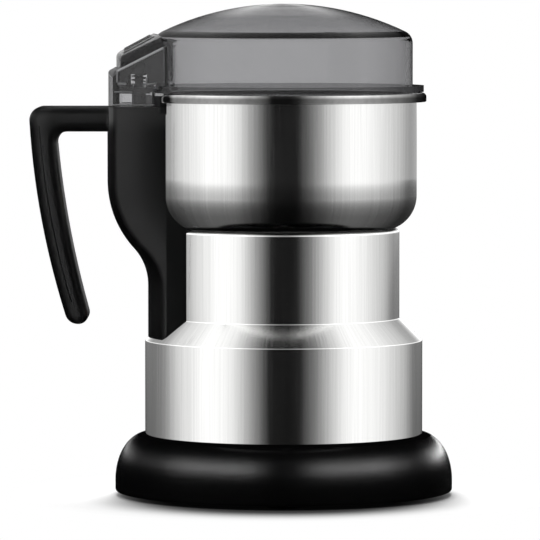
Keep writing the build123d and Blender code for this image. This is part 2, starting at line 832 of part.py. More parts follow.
def make_cooling_fan():
    """Radial fan on the shaft above the rotor."""
    fan = disc(fan_radius, fan_bottom, fan_bottom + fan_disc)
    fan += disc(fan_hub_radius, fan_bottom, fan_top)
    blade = block(fan_hub_radius - 1, fan_radius - 0.5, -0.6, 0.6, fan_bottom, fan_top)
    for turn in around(fan_blade_count):
        fan += turn * blade
    return fan - disc(shaft_radius + seat_gap, fan_bottom - 1, fan_top + 1)


def brush_sides(shape):
    """The shape on the +Y side and its mirror image on the -Y side."""
    return joined([shape, mirror(shape, Plane.XZ)])


def make_brush_holders():
    """Two brass tubes through the lower bracket's arms, closed at their outer ends."""
    half = brush_half_width + holder_wall
    rise = brush_half_height + holder_wall
    start = commutator_radius + 2
    inner = brush_half_width + seat_gap
    inner_rise = brush_half_height + seat_gap
    tube = block(-half, half, start, holder_end, brush_level - rise, brush_level + rise)
    end = holder_end - 1.0
    tube -= block(-inner, inner, start - 1, end, brush_level - inner_rise, brush_level + inner_rise)
    return brush_sides(tube)


def make_carbon_brushes():
    """Two carbon blocks that bear on the commutator."""
    start = commutator_radius + lift_gap
    low = brush_level - brush_half_height
    high = brush_level + brush_half_height
    brush = block(-brush_half_width, brush_half_width, start, start + brush_length, low, high)
    return brush_sides(brush)


def make_brush_springs():
    """Two small coil springs behind the brushes."""
    start = commutator_radius + lift_gap + brush_length + 0.05
    end = holder_end - 1.05
    radius = min(brush_half_width, brush_half_height) - brush_wire - 0.3
    spring = coil(radius, brush_wire, 0, end - start, 5)
    spring = Pos(0, start, brush_level) * Rot(-90, 0, 0) * spring
    return brush_sides(spring)


def make_capacitor():
    """Interference capacitor on the bottom plate."""
    width, length, height = capacitor_size
    x = -vent_outer_radius - vent_margin
    body = block(x - width, x, -length / 2, length / 2, plate_top, plate_top + height)
    return fillet(body.edges().group_by(Axis.Z)[-1], 0.8)


def make_terminal_block():
    """Terminal block on the bottom plate, for the cord and the switch leads."""
    width, length, height = terminal_size
    x = vent_outer_radius + vent_margin
    body = block(x, x + width, -length / 2, length / 2, plate_top, plate_top + height)
    for index in (-1, 0, 1):
        y = index * length / 3
        body -= disc(2.0, plate_top + height - 4, plate_top + height + 1, x + width / 2, y)
    return body


# ---- Blades ------------------------------------------------------------------------------------
def blade_bar():
    """One two-ended blade along X at level 0, with tapered ends that turn up."""
    root = blade_root_width / 2
    tip = blade_tip_width / 2
    start = collar_radius + 1
    corners = [(-blade_flat_radius, tip), (-start, root), (start, root), (blade_flat_radius, tip)]
    flat = make_face(Polyline(*corners, *[(x, -y) for x, y in reversed(corners)], close=True))
    bar = extrude(flat, blade_thickness)
    wing = block(0, blade_tip_length, -tip, tip, 0, blade_thickness)
    wing = Pos(blade_flat_radius, 0, 0) * Rot(0, -blade_tip_rise, 0) * wing
    bar += wing
    bar += Rot(0, 0, 180) * wing
    bar &= disc(blade_radius, -blade_tip_length, blade_tip_length)
    return bar - disc(shaft_radius + seat_gap, -1, blade_thickness + 1)


def make_lower_blade():
    """Lower blade, along X."""
    return Pos(0, 0, lower_blade_bottom) * blade_bar()


def make_upper_blade():
    """Upper blade, across the lower one."""
    return Pos(0, 0, upper_blade_bottom) * Rot(0, 0, 90) * blade_bar()


def make_blade_collar():
    """Spacer between the bush and the blades."""
    collar = disc(collar_radius, collar_bottom, lower_blade_bottom)
    collar = chamfer(collar.edges().group_by(Axis.Z)[-1], 0.5)
    return collar - disc(shaft_radius + seat_gap, collar_bottom - 1, lower_blade_bottom + 1)


def make_blade_washer():
    """Washer between the blades and their nut."""
    return ring(washer_radius, shaft_radius + seat_gap, blades_top, blade_nut_bottom)


def make_blade_nut():
    """Nut on the shaft's upper end."""
    top = blade_nut_bottom + blade_nut_height
    nut = hexagon(blade_nut_across, blade_nut_bottom, top)
    cap = disc(blade_nut_across * 0.56, blade_nut_bottom, top)
    nut &= chamfer(cap.edges().group_by(Axis.Z)[-1], 0.5)
    return nut - disc(shaft_radius + seat_gap, blade_nut_bottom - 1, top + 1)


# ---- Handle ------------------------------------------------------------------------------------
def wedge(back_radius, back_half, front_x, front_half, low, high):
    """Upright wedge beside the body: round back, straight sides that widen to the front."""
    sides = [
        (-back_radius, -back_half),
        (-front_x, -front_half),
        (0, -front_half),
        (0, front_half),
        (-front_x, front_half),
        (-back_radius, back_half),
        (-back_radius - 5, back_half),
        (-back_radius - 5, -back_half),
    ]
    face = make_face(Polyline(*sides, close=True)) & Circle(back_radius)
    return Pos(0, 0, low) * extrude(face, high - low)


def column_section(inset):
    """Side section of the column as (radius, height), moved inward by its wall."""
    back = column_back_radius - inset
    foot = column_foot_radius - inset
    top = column_top - inset
    bottom = drum_top + inset
    bend_top = cup_mouth - column_bend_top_drop
    bend_low = neck_bottom + column_bend_rise
    middle = (
        back + column_bend_share * (foot - back),
        bend_top + column_bend_share * (bend_low - bend_top),
    )
    upper = TangentArc((back, bend_top), middle, tangent=(0, -1))
    lower = TangentArc(middle, (foot, bend_low), tangent=upper % 1)
    edges = [
        Line((0, top), (back, top)),
        Line((back, top), (back, bend_top)),
        upper,
        lower,
        Line((foot, bend_low), (foot, bottom)),
        Line((foot, bottom), (0, bottom)),
        Line((0, bottom), (0, top)),
    ]
    return make_face(Curve() + edges)


def column_form(inset):
    """Solid column before the body is cut out of it."""
    plan = wedge(
        column_back_radius + 2,
        column_back_half_width - inset,
        column_front_x,
        column_front_half_width - inset,
        0,
        cup_mouth,
    )
    return spun(column_section(inset)) & plan


def body_form():
    """Drum, neck and cup with the clearance of what lies against them."""
    lean = math.atan2(drum_radius - neck_radius, shoulder_height)
    slide = cover_gap * math.tan(lean / 2)
    corners = [
        (0, base_top, 0),
        (drum_radius + cover_gap, base_top, 0),
        (drum_radius + cover_gap, drum_top + slide, 0),
        (neck_radius + cover_gap, neck_bottom + slide, 0),
        (neck_radius + cover_gap, deck_top, 0),
        (0, deck_top, 0),
    ]
    lower = spun(outline(corners))
    corners = [
        (0, deck_top - cover_gap, 0),
        (cup_clear_radius, deck_top - cover_gap, cup_round + cover_gap),
        (cup_clear_radius, cup_mouth + 5, 0),
        (0, cup_mouth + 5, 0),
    ]
    return lower + spun(outline(corners))


def grip_point(place):
    """Point of the grip's side outline from (distance behind the column, drop from the mouth)."""
    return (-column_back_radius - place[0], cup_mouth - place[1])


def make_grip():
    """Arm and grip in one bar that hooks out and down from the column's top."""
    arm_top = column_top
    arm_low = column_top - arm_thickness
    root = -column_back_radius + 6
    start = (-column_back_radius - grip_corner, arm_top)
    low_outer = grip_point(grip_low_outer)
    low_inner = grip_point(grip_low_inner)
    inner_top = (-column_back_radius - grip_top_inner, arm_low)
    edges = [
        Line((root, arm_top), start),
        ThreePointArc(start, grip_point(grip_mid_outer), low_outer),
        Line(low_outer, low_inner),
        ThreePointArc(low_inner, grip_point(grip_mid_inner), inner_top),
        Line(inner_top, (root, arm_low)),
        Line((root, arm_low), (root, arm_top)),
    ]
    face = make_face(Curve() + edges)
    corners = [
        (start, grip_outer_round),
        (low_outer, grip_tip_outer_round),
        (low_inner, grip_tip_inner_round),
        (inner_top, grip_inner_round),
    ]
    for place, corner_round in corners:
        corner = face.vertices().sort_by_distance((place[0], place[1], 0))[0]
        face = fillet(corner, corner_round)
    bar = extrude(Plane.XZ * face, arm_half_depth, both=True)
    sides = bar.faces().filter_by(Plane.XZ)
    rims = sides.edges().filter_by(lambda edge: abs(edge.center().X - root) > 0.5)
    return fillet(rims, grip_edge_round)


def screw_posts():
    """Posts in the column that take the screws from inside the neck."""
    posts = []
    for drop in column_screw_drops:
        level = cup_mouth - drop
        posts.append(rod_x(post_radius, -column_back_radius, -neck_radius + 1, 0, level))
    for side in (1, -1):
        y = side * switch_hole_spacing / 2
        level = switch_bottom + switch_hole_rise
        end = -switch_x - switch_thickness / 2
        posts.append(rod_x(switch_post_radius, -column_back_radius, end, y, level))
    return joined(posts)


def make_handle():
    """Column, arm and grip in one moulding: a channel that lies against the steel body."""
    column = column_form(0)
    upright = column.faces().filter_by(GeomType.PLANE).filter_by(
        lambda face: abs(face.normal_at().Z) < 0.1 and abs(face.normal_at().X) > 0.05
    )
    side_edges = upright.filter_by(lambda face: face.center().X < -column_front_x / 2).edges()
    back_edges = side_edges.filter_by(
        lambda edge: edge.center().X < -column_front_x - 1 and abs(edge.tangent_at(0.5).Z) > 0.3
    )
    column = fillet(back_edges, column_edge_round)
    cavity = column_form(column_wall)
    inside = column_form(column_wall / 2)
    column -= cavity
    column += screw_posts() & inside
    grip = make_grip() - column_form(column_wall / 2)
    column += grip
    lip = ring(cup_clear_radius + lip_wall, cup_radius, column_ceiling, cup_mouth - lip_drop)
    half = lip_half_width
    column += lip & block(-rim_radius, 0, -half, half, column_ceiling, cup_mouth)
    column += disc(guide_radius, column_ceiling, guide_top, -switch_x)
    column -= body_form()
    column -= disc(plunger_radius + running_gap, column_ceiling - 1, guide_top + 1, -switch_x)
    for drop in column_screw_drops:
        bite = column_screw_bite + 0.5
        hole = column_screw_radius + running_gap
        column -= rod_x(hole, -neck_radius - bite, -neck_radius + 3, 0, cup_mouth - drop)
    for side in (1, -1):
        y = side * switch_hole_spacing / 2
        level = switch_bottom + switch_hole_rise
        end = -switch_x - switch_thickness / 2
        column -= rod_x(switch_screw_radius + running_gap, end - 5, end + 1, y, level)
    return column


def make_column_screws():
    """Two screws from inside the neck into the column's posts."""
    inner = math.sqrt((neck_radius - steel_wall) ** 2 - column_screw_head_radius**2)
    head = pan_screw(
        column_screw_radius,
        column_screw_bite + neck_radius - inner,
        column_screw_head_radius,
        column_screw_head_height,
    )
    screw = Rot(0, -90, 0) * head
    return joined([Pos(-inner, 0, cup_mouth - drop) * screw for drop in column_screw_drops])


# ---- Switch ------------------------------------------------------------------------------------
def make_switch_body():
    """Small lever switch: case, two ears and the lever's hinge pin."""
    low_x = -switch_x - switch_thickness / 2
    high_x = low_x + switch_thickness
    half = switch_length / 2
    body = block(low_x, high_x, -half, half, switch_bottom, switch_top)
    body = chamfer(body.edges().filter_by(Axis.X), 0.6)
    for side in (1, -1):
        y = side * switch_hole_spacing / 2
        level = switch_bottom + switch_hole_rise
        body -= rod_x(switch_hole_radius, low_x - 1, high_x + 1, y, level)
    pivot_y = -lever_arm
    ear = block(low_x, low_x + 0.8, pivot_y - 1.2, pivot_y + 1.2, switch_top - 1, pivot_level + 0.9)
    body += ear
    body += Pos(switch_thickness - 0.8, 0, 0) * ear
    body += rod_x(lever_pin_radius, low_x + 0.4, high_x - 0.4, pivot_y, pivot_level)
    hole_low = switch_top - pin_depth
    return body - disc(pin_radius + running_gap, hole_low, switch_top + 1, -switch_x, pivot_y + pin_arm)


def make_switch_screws():
    """Two screws that hold the switch to the column's posts."""
    head = pan_screw(
        switch_screw_radius,
        switch_thickness + 4,
        switch_screw_head_radius,
        switch_screw_head_height,
    )
    screw = Rot(0, -90, 0) * head
    high_x = -switch_x + switch_thickness / 2
    level = switch_bottom + switch_hole_rise
    sides = (1, -1)
    return joined([Pos(high_x, s * switch_hole_spacing / 2, level) * screw for s in sides])


def make_switch_terminals():
    """Three solder blades under the switch."""
    thickness, width, length = terminal_blade
    low = switch_bottom - length
    blades = []
    for index in (-1, 0, 1):
        y = index * terminal_spacing
        low_x = -switch_x - thickness / 2
        high_x = low_x + thickness
        blades.append(block(low_x, high_x, y - width / 2, y + width / 2, low, switch_bottom))
    return joined(blades)


def lever_under(arm):
    """Height of the resting lever's underside above its pivot, at a distance along Y."""
    tilt = math.radians(lever_tilt)
    flat = lever_hub_radius - lever_thickness
    return arm * math.tan(tilt) + flat / math.cos(tilt)


def make_switch_pin():
    """The switch's own push pin, under the lever."""
    top = pivot_level + lever_under(pin_arm - pin_radius) - 0.12
    low = switch_top - pin_depth + button_travel * pin_share + 0.2
    pin = disc(pin_radius, low, top, -switch_x, -lever_arm + pin_arm)
    return chamfer(pin.edges().group_by(Axis.Z)[-1], 0.25)


def make_switch_lever():
    """Spring-steel lever that hinges on the switch and slopes up to the plunger."""
    half = lever_width / 2
    top = lever_hub_radius
    strip = block(-half, half, 0, lever_length, top - lever_thickness, top)
    hub = rod_x(lever_hub_radius, -half, half, 0, 0)
    lever = hub + strip
    lever -= rod_x(lever_pin_radius + running_gap, -half - 1, half + 1, 0, 0)
    return Pos(-switch_x, -lever_arm, pivot_level) * Rot(lever_tilt, 0, 0) * lever


def make_plunger():
    """Push rod through the column's guide, between the button's stem and the lever."""
    rod = disc(plunger_radius, plunger_tip + plunger_radius, plunger_top, -switch_x)
    rod = chamfer(rod.edges().group_by(Axis.Z)[-1], 0.3)
    rod += Pos(-switch_x, 0, plunger_tip + plunger_radius) * Sphere(plunger_radius)
    collar_top = column_ceiling - lift_gap
    return rod + disc(plunger_collar_radius, collar_top - plunger_collar_height, collar_top, -switch_x)


# ---- Lid and button ----------------------------------------------------------------------------
def lid_form(inset):
    """Domed plug that is the outside or, moved inward by its wall, the inside of the lid."""
    radius = lid_radius - inset
    low = cup_mouth - lid_skirt_depth - (1 if inset else 0)
    top = cup_mouth + lid_dome_height - inset
    sphere = lid_dome_radius - inset
    edge_level = top - sphere + math.sqrt(sphere**2 - radius**2)
    half_level = top - sphere + math.sqrt(sphere**2 - (radius / 2) ** 2)
    edges = [
        Line((0, low), (radius, low)),
        Line((radius, low), (radius, edge_level)),
        ThreePointArc((radius, edge_level), (radius / 2, half_level), (0, top)),
        Line((0, top), (0, low)),
    ]
    face = make_face(Curve() + edges)
    corner = face.vertices().sort_by_distance((radius, edge_level, 0))[0]
    return spun(fillet(corner, lid_inner_round if inset else lid_corner_round))


def housing_plan(gap, back_gap, low, high):
    """Upright form of the lid's side housing, moved inward by a side gap and a back gap."""
    return wedge(
        housing_back_radius - back_gap,
        housing_back_half_width - gap,
        housing_front_x,
        housing_front_half_width - gap,
        low,
        high,
    )


def crown_form(half, crown, level):
    """Large lying cylinder whose top is a sloping face, crowned across a half width."""
    radius = (half**2 + crown**2) / (2 * crown)
    angle = math.radians(housing_slope)
    x = -housing_back_radius + radius * math.sin(angle)
    z = level - radius * math.cos(angle)
    return Pos(x, 0, z) * Rot(0, 90 - housing_slope, 0) * Cylinder(radius, 2 * housing_back_radius)


def housing_form(low, high):
    """Side housing without its well, rounded at its corners and along its crowned slope."""
    form = housing_plan(0, 0, low, high)
    upright = form.edges().filter_by(Axis.Z).sort_by(Axis.X)[0:2]
    form = fillet(upright, housing_corner_round)
    level = housing_slope_level + housing_crown
    form &= crown_form(housing_back_half_width, housing_crown, level)
    crown = form.faces().filter_by(GeomType.CYLINDER).sort_by(SortBy.AREA)[-1]
    edge = [e for e in crown.edges() if e.center().X < -lid_radius]
    form = fillet(edge, housing_edge_round)
    inner_x = housing_overlap - lid_radius
    half = housing_front_half_width + 1
    return form - block(inner_x, 1, -half, half, low - 1, high + 1)


def make_lid():
    """Smoked clear lid: dome, wall, flange and skirt, with the housing for the button."""
    low = cup_mouth - housing_drop
    high = cup_mouth + lid_dome_height
    housing = housing_form(low, high)
    inner_radius = cup_clear_radius + lip_wall + housing_clear
    housing -= disc(inner_radius, low - 1, lid_seat)
    lid = lid_form(0) + ring(flange_radius, lid_radius - 1, lid_seat, lid_seat + flange_thickness)
    lid += housing
    shaft = housing_plan(housing_side_wall, housing_back_wall, low - 1, high)
    lid -= shaft - disc(lid_radius, low - 2, high + 1)
    lid -= lid_form(lid_wall)
    gate_top = high - lid_wall + 0.05
    gate = ring(gate_ring_radius, gate_ring_radius - gate_ring_width, gate_top - 2, gate_top)
    sphere = Pos(0, 0, high - lid_dome_radius) * Sphere(lid_dome_radius - lid_wall - gate_ring_depth)
    return lid + (gate & lid_form(lid_wall / 2)) - (sphere & disc(gate_ring_radius + 1, 0, high))


def button_form(drop):
    """What lies under the button's crowned face, lowered by a distance."""
    level = housing_slope_level + button_proud + button_crown - drop
    return crown_form(housing_back_half_width - housing_side_wall, button_crown, level)


def button_plan(inset, low, high):
    """Upright form of the button, moved inward by a wall."""
    gap = housing_side_wall + button_gap + inset
    back = housing_back_wall + button_gap + inset
    plan = housing_plan(gap, back, low, high)
    inner = lid_radius + button_inner_gap + inset
    return plan - disc(inner, low - 1, high + 1)


def button_block(low, high):
    """Solid form of the button, rounded where its crowned face meets its back."""
    form = button_plan(0, low, high) & button_form(0)
    crown = form.faces().filter_by(GeomType.CYLINDER).sort_by(Axis.Z)[-1]
    form = fillet(crown.edges().sort_by(Axis.X)[0], button_back_round)
    upright = form.edges().filter_by(Axis.Z).sort_by(Axis.X)[0:2]
    return fillet(upright, button_corner_round)


def make_lid_button():
    """Sloping crowned button with a hollow skirt and a stem."""
    high = cup_mouth + lid_dome_height
    low = button_bottom
    step = cup_mouth + button_step_rise
    body = button_block(low, high)
    body -= disc(cup_clear_radius + lip_wall + 2 * housing_clear, low - 1, step)
    hollow = button_plan(button_wall, low - 1, high) & button_form(button_top_thickness)
    body -= hollow
    seat_low = spring_top()
    inner = button_plan(button_wall / 2, low, high) & button_form(button_top_thickness / 2)
    body += disc(spring_seat_radius, seat_low, high, -switch_x) & inner
    body += disc(stem_radius, plunger_top + lift_gap, high, -switch_x) & inner
    slot_half = bar_half_width + lift_gap
    slot_low = bar_bottom - lift_gap
    slot_high = bar_top + button_travel + lift_gap
    half = housing_front_half_width
    slot = block(-switch_x - slot_half, -switch_x + slot_half, -half, half, slot_low, slot_high)
    seat = disc(spring_seat_radius + 1, slot_low - 1, high, -switch_x)
    return body - (slot - seat)


def spring_top():
    """Level of the button's spring seat: under its top by the seat's depth."""
    angle = math.radians(housing_slope)
    top = housing_slope_level + button_proud + button_crown - button_top_thickness / math.cos(angle)
    return top + (housing_back_radius - switch_x - spring_seat_radius) * slope_rise - spring_seat_depth


def make_spring_bar():
    """Bar across the housing, through the button's side slots, that carries the spring."""
    low_x = -switch_x - bar_half_width
    high_x = -switch_x + bar_half_width
    half = housing_front_half_width
    bar = block(low_x, high_x, -half, half, bar_bottom, bar_top)
    bar &= housing_plan(housing_side_wall, housing_back_wall, bar_bottom - 1, bar_top + 1)
    return bar - disc(stem_radius + lift_gap, bar_bottom - 1, bar_top + 1, -switch_x)


def make_button_spring():
    """Coil spring that lifts the button."""
    spring = coil(
        button_spring_radius,
        button_spring_wire,
        bar_top + 0.05,
        spring_top() - 0.05,
        button_spring_turns,
    )
    return Pos(-switch_x, 0, 0) * spring


# ---- All nodes ---------------------------------------------------------------------------------
NODES = {
    "rubber_feet": make_rubber_feet,
    "bottom_plate": make_bottom_plate,
    "bottom_screws": make_bottom_screws,
    "base_housing": make_base_housing,
    "cord_gland": make_cord_gland,
    "tie_screws": make_tie_screws,
    "body_shell": make_body_shell,
    "motor_carrier": make_motor_carrier,
    "grinding_cup": make_grinding_cup,
    "rim_ring": make_rim_ring,
    "cup_gasket": make_cup_gasket,
    "cup_bush": make_cup_bush,
    "cup_nut": make_cup_nut,
    "handle": make_handle,
    "column_screws": make_column_screws,
    "switch_body": make_switch_body,
    "switch_screws": make_switch_screws,
    "switch_terminals": make_switch_terminals,
    "switch_pin": make_switch_pin,
    "switch_lever": make_switch_lever,
    "plunger": make_plunger,
    "lid": make_lid,
    "lid_button": make_lid_button,
    "spring_bar": make_spring_bar,
    "button_spring": make_button_spring,
    "upper_bracket": make_upper_bracket,
    "lower_bracket": make_lower_bracket,
    "bracket_screws": make_bracket_screws,
    "motor_bolts": make_motor_bolts,
    "upper_bearing": lambda: make_bearing(upper_bearing_bottom),
    "lower_bearing": lambda: make_bearing(lower_bearing_bottom),
    "stator_core": make_stator_core,
    "field_coils": make_field_coils,
    "motor_shaft": make_motor_shaft,
    "armature_core": make_armature_core,
    "armature_windings": make_armature_windings,
    "commutator": make_commutator,
    "cooling_fan": make_cooling_fan,
    "brush_holders": make_brush_holders,
    "carbon_brushes": make_carbon_brushes,
    "brush_springs": make_brush_springs,
    "capacitor": make_capacitor,
    "terminal_block": make_terminal_block,
    "blade_collar": make_blade_collar,
    "lower_blade": make_lower_blade,
    "upper_blade": make_upper_blade,
    "blade_washer": make_blade_washer,
    "blade_nut": make_blade_nut,
}


def main():
    """Make every node and write it as a STEP file."""
    os.makedirs("parts", exist_ok=True)
    for name, make in NODES.items():
        export_step(make(), f"parts/{name}.step")


if __name__ == "__main__":
    main()
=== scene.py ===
"""Looks for an electric spice grinder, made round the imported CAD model.

Lengths in the classes are millimetres, in the CAD model's own frame: Z is up, the handle points to
-X, the front is -Y. Meshes are written in metres.
"""

from __future__ import annotations

import json
import logging
import math
from collections.abc import Sequence
from dataclasses import dataclass, field
from enum import Enum

import bmesh
import bpy
from mathutils import Matrix, Vector

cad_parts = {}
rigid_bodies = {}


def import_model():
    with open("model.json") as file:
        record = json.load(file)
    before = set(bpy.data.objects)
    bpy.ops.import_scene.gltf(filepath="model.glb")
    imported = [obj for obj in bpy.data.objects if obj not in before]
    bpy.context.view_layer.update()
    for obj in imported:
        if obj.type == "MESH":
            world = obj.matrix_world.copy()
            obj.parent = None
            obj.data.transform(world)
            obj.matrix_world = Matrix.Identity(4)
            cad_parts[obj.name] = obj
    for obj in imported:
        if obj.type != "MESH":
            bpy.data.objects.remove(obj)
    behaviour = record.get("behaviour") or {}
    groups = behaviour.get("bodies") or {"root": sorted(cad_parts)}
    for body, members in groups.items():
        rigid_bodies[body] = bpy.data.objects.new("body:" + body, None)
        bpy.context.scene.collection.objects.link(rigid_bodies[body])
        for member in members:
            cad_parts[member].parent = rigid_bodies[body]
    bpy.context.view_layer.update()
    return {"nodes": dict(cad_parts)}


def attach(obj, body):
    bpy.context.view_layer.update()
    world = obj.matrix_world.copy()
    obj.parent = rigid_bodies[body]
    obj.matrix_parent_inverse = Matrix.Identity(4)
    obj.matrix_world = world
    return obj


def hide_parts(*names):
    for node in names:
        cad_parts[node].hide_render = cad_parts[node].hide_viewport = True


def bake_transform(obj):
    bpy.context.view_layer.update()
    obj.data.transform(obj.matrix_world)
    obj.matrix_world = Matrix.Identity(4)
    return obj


LOG = logging.getLogger("spice_grinder")
MM = 0.001
PER_METRE = 1000.0
WELD = 1e-7  # metres within which two drawn points are one
MULTIPLY = {"data_type": "RGBA", "blend_type": "MULTIPLY"}  # for Mix: inputs 0, 6, 7, output 2

Tree = bpy.types.NodeTree
Node = bpy.types.Node
Socket = bpy.types.NodeSocket
Mesh = bmesh.types.BMesh
Pair = tuple[float, float]
Point = tuple[float, float, float]
Stops = Sequence[tuple[float, str]]


# ---- Small shared tools -------------------------------------------------------------------------
def linear(code: str) -> tuple[float, float, float, float]:
    """Turns an sRGB hex colour into linear RGBA.

    Args:
        code: six hex digits, with or without a leading hash.

    Returns:
        Linear red, green, blue and an alpha of 1.
    """
    digits = code.lstrip("#")
    values = [int(digits[i : i + 2], 16) / 255 for i in (0, 2, 4)]
    turned = [v / 12.92 if v <= 0.04045 else ((v + 0.055) / 1.055) ** 2.4 for v in values]
    return (turned[0], turned[1], turned[2], 1.0)


def add_node(
    tree: Tree,
    kind: str,
    inputs: dict[str | int, object] | Sequence[object] = (),
    **settings: object,
) -> Node:
    """Adds a shader node with its settings and links.

    Args:
        tree: node tree that gets the node.
        kind: type name of the node, without ShaderNode before it.
        inputs: value, output socket or node for each input, by name or index, or in the node's
            own order (a Map Range takes the value, from low to high, to low to high). A node
            stands for its first output.
        settings: attributes of the node.

    Returns:
        The new node.
    """
    node = tree.nodes.new("ShaderNode" + kind)
    for name, value in settings.items():
        setattr(node, name, value)
    for key, value in inputs.items() if isinstance(inputs, dict) else enumerate(inputs):
        if isinstance(value, Node):
            value = value.outputs[0]
        if isinstance(value, Socket):
            tree.links.new(value, node.inputs[key])
        else:
            node.inputs[key].default_value = value
    return node


def set_stops(ramp: bpy.types.ColorRamp, stops: Stops) -> None:
    """Gives a colour ramp its stops.

    Args:
        ramp: colour ramp to fill.
        stops: position and sRGB hex colour of each stop, in rising order.
    """
    while len(ramp.elements) > 1:
        ramp.elements.remove(ramp.elements[-1])
    ramp.elements[0].position = stops[0][0]
    ramp.elements[0].color = linear(stops[0][1])
    for position, code in stops[1:]:
        ramp.elements.new(position).color = linear(code)


def new_material(name: str) -> tuple[bpy.types.Material, Tree]:
    """Starts a material.

    Args:
        name: the material's name.

    Returns:
        The material and its empty node tree.
    """
    material = bpy.data.materials.new(name)
    material.use_nodes = True
    material.node_tree.nodes.clear()
    return material, material.node_tree


def circle_centre(first: Pair, middle: Pair, last: Pair) -> Pair:
    """Finds the centre of the circle through three points of a plane.

    Args:
        first: one end of the arc.
        middle: a point on the arc between its ends.
        last: the other end.

    Returns:
        The centre's two coordinates.
    """
    (ax, ay), (bx, by), (cx, cy) = first, middle, last
    d = 2 * (ax * (by - cy) + bx * (cy - ay) + cx * (ay - by))
    a, b, c = ax * ax + ay * ay, bx * bx + by * by, cx * cx + cy * cy
    x = (a * (by - cy) + b * (cy - ay) + c * (ay - by)) / d
    y = (a * (cx - bx) + b * (ax - cx) + c * (bx - ax)) / d
    return (x, y)


def crown_drop(across: float, half: float, crown: float) -> float:
    """Finds how far a crowned face lies below its own middle line.

    Args:
        across: distance from the middle line, in mm.
        half: half of the face's width, in mm.
        crown: how far the middle line stands above the face's sides, in mm.

    Returns:
        The drop, in mm.
    """
    radius = (half**2 + crown**2) / (2 * crown)
    return radius - math.sqrt(radius**2 - across**2)


class Profile:
    """Half section that a pen draws in the XZ plane, to be turned about the upright axis."""

    def __init__(self, radius: float, height: float) -> None:
        """Puts the pen down.

        Args:
            radius: distance from the axis, in mm.
            height: level, in mm.
        """
        self.mesh = bmesh.new()
        self.tip = self.mesh.verts.new((radius * MM, 0, height * MM))

    def line(self, *points: Pair) -> None:
        """Draws straight lines from point to point.

        Args:
            points: distance from the axis and level of each, in mm.
        """
        for radius, height in points:
            self.tip = bmesh.ops.extrude_vert_indiv(self.mesh, verts=[self.tip])["verts"][0]
            self.tip.co = (radius * MM, 0, height * MM)

    def arc(self, radius: float, height: float, angle: float, steps: int) -> None:
        """Draws an arc about a centre.

        Args:
            radius: the centre's distance from the axis, in mm.
            height: the centre's level, in mm.
            angle: how far the pen turns, in degrees, positive from +Z towards +X.
            steps: number of edges.
        """
        made = bmesh.ops.spin(
            self.mesh,
            geom=[self.tip],
            cent=(radius * MM, 0, height * MM),
            axis=(0, 1, 0),
            angle=math.radians(angle),
            steps=steps,
            use_merge=False,
        )
        self.tip = next(v for v in made["geom_last"] if isinstance(v, bmesh.types.BMVert))

    def turned(self, steps: int) -> Mesh:
        """Turns the section right round the axis.

        Args:
            steps: number of faces round the axis.

        Returns:
            The closed or open shell, with its faces pointing outwards.
        """
        bmesh.ops.spin(
            self.mesh,
            geom=self.mesh.verts[:] + self.mesh.edges[:],
            cent=(0, 0, 0),
            axis=(0, 0, 1),
            angle=2 * math.pi,
            steps=steps,
            use_merge=True,
        )
        bmesh.ops.remove_doubles(self.mesh, verts=self.mesh.verts[:], dist=WELD)
        bmesh.ops.recalc_face_normals(self.mesh, faces=self.mesh.faces[:])
        return self.mesh

    def swept(self, start: float, angle: float, steps: int) -> Mesh:
        """Closes the section and turns it part of the way round the axis.

        Args:
            start: where it begins, in degrees from +X towards +Y.
            angle: how far it goes, in degrees.
            steps: number of faces along the way.

        Returns:
            The closed solid, whose end faces are its only ones with more than four corners.
        """
        bmesh.ops.remove_doubles(self.mesh, verts=self.mesh.verts[:], dist=WELD)
        bmesh.ops.contextual_create(self.mesh, geom=self.mesh.edges[:])
        bmesh.ops.rotate(
            self.mesh,
            verts=self.mesh.verts[:],
            cent=(0, 0, 0),
            matrix=Matrix.Rotation(math.radians(start), 3, "Z"),
        )
        bmesh.ops.spin(
            self.mesh,
            geom=self.mesh.verts[:] + self.mesh.edges[:] + self.mesh.faces[:],
            cent=(0, 0, 0),
            axis=(0, 0, 1),
            angle=math.radians(angle),
            steps=steps,
            use_merge=False,
        )
        return self.mesh


def join(whole: Mesh, part: Mesh) -> None:
    """Adds one bmesh to another.

    Args:
        whole: bmesh that gets it.
        part: bmesh that goes into it; it is freed.
    """
    held = bpy.data.meshes.new("held")
    part.to_mesh(held)
    part.free()
    whole.from_mesh(held)
    bpy.data.meshes.remove(held)


def add_rod(mesh: Mesh, start: Point, end: Point, radius: float, sides: int = 16) -> None:
    """Adds a straight rod with rounded ends.

    Args:
        mesh: bmesh that gets it.
        start: one end, in mm.
        end: the other end, in mm.
        radius: in mm.
        sides: number of faces round the rod.
    """
    first, last = Vector(start) * MM, Vector(end) * MM
    way = last - first
    rod = bmesh.new()
    made = bmesh.ops.create_cone(
        rod,
        cap_ends=True,
        segments=sides,
        radius1=radius * MM,
        radius2=radius * MM,
        depth=way.length,
    )
    caps = [f for v in made["verts"] for f in v.link_faces if len(f.verts) == sides]
    end_round = 0.6 * radius
    bmesh.ops.bevel(
        rod,
        geom=list({e for f in caps for e in f.edges}),
        offset=end_round * MM,
        segments=3,
        affect="EDGES",
        profile=0.5,
        material=-1,
    )
    turn = way.to_track_quat("Z", "Y").to_matrix().to_4x4()
    matrix = Matrix.Translation((first + last) / 2) @ turn
    bmesh.ops.transform(rod, matrix=matrix, verts=rod.verts[:])
    bmesh.ops.recalc_face_normals(rod, faces=rod.faces[:])
    join(mesh, rod)


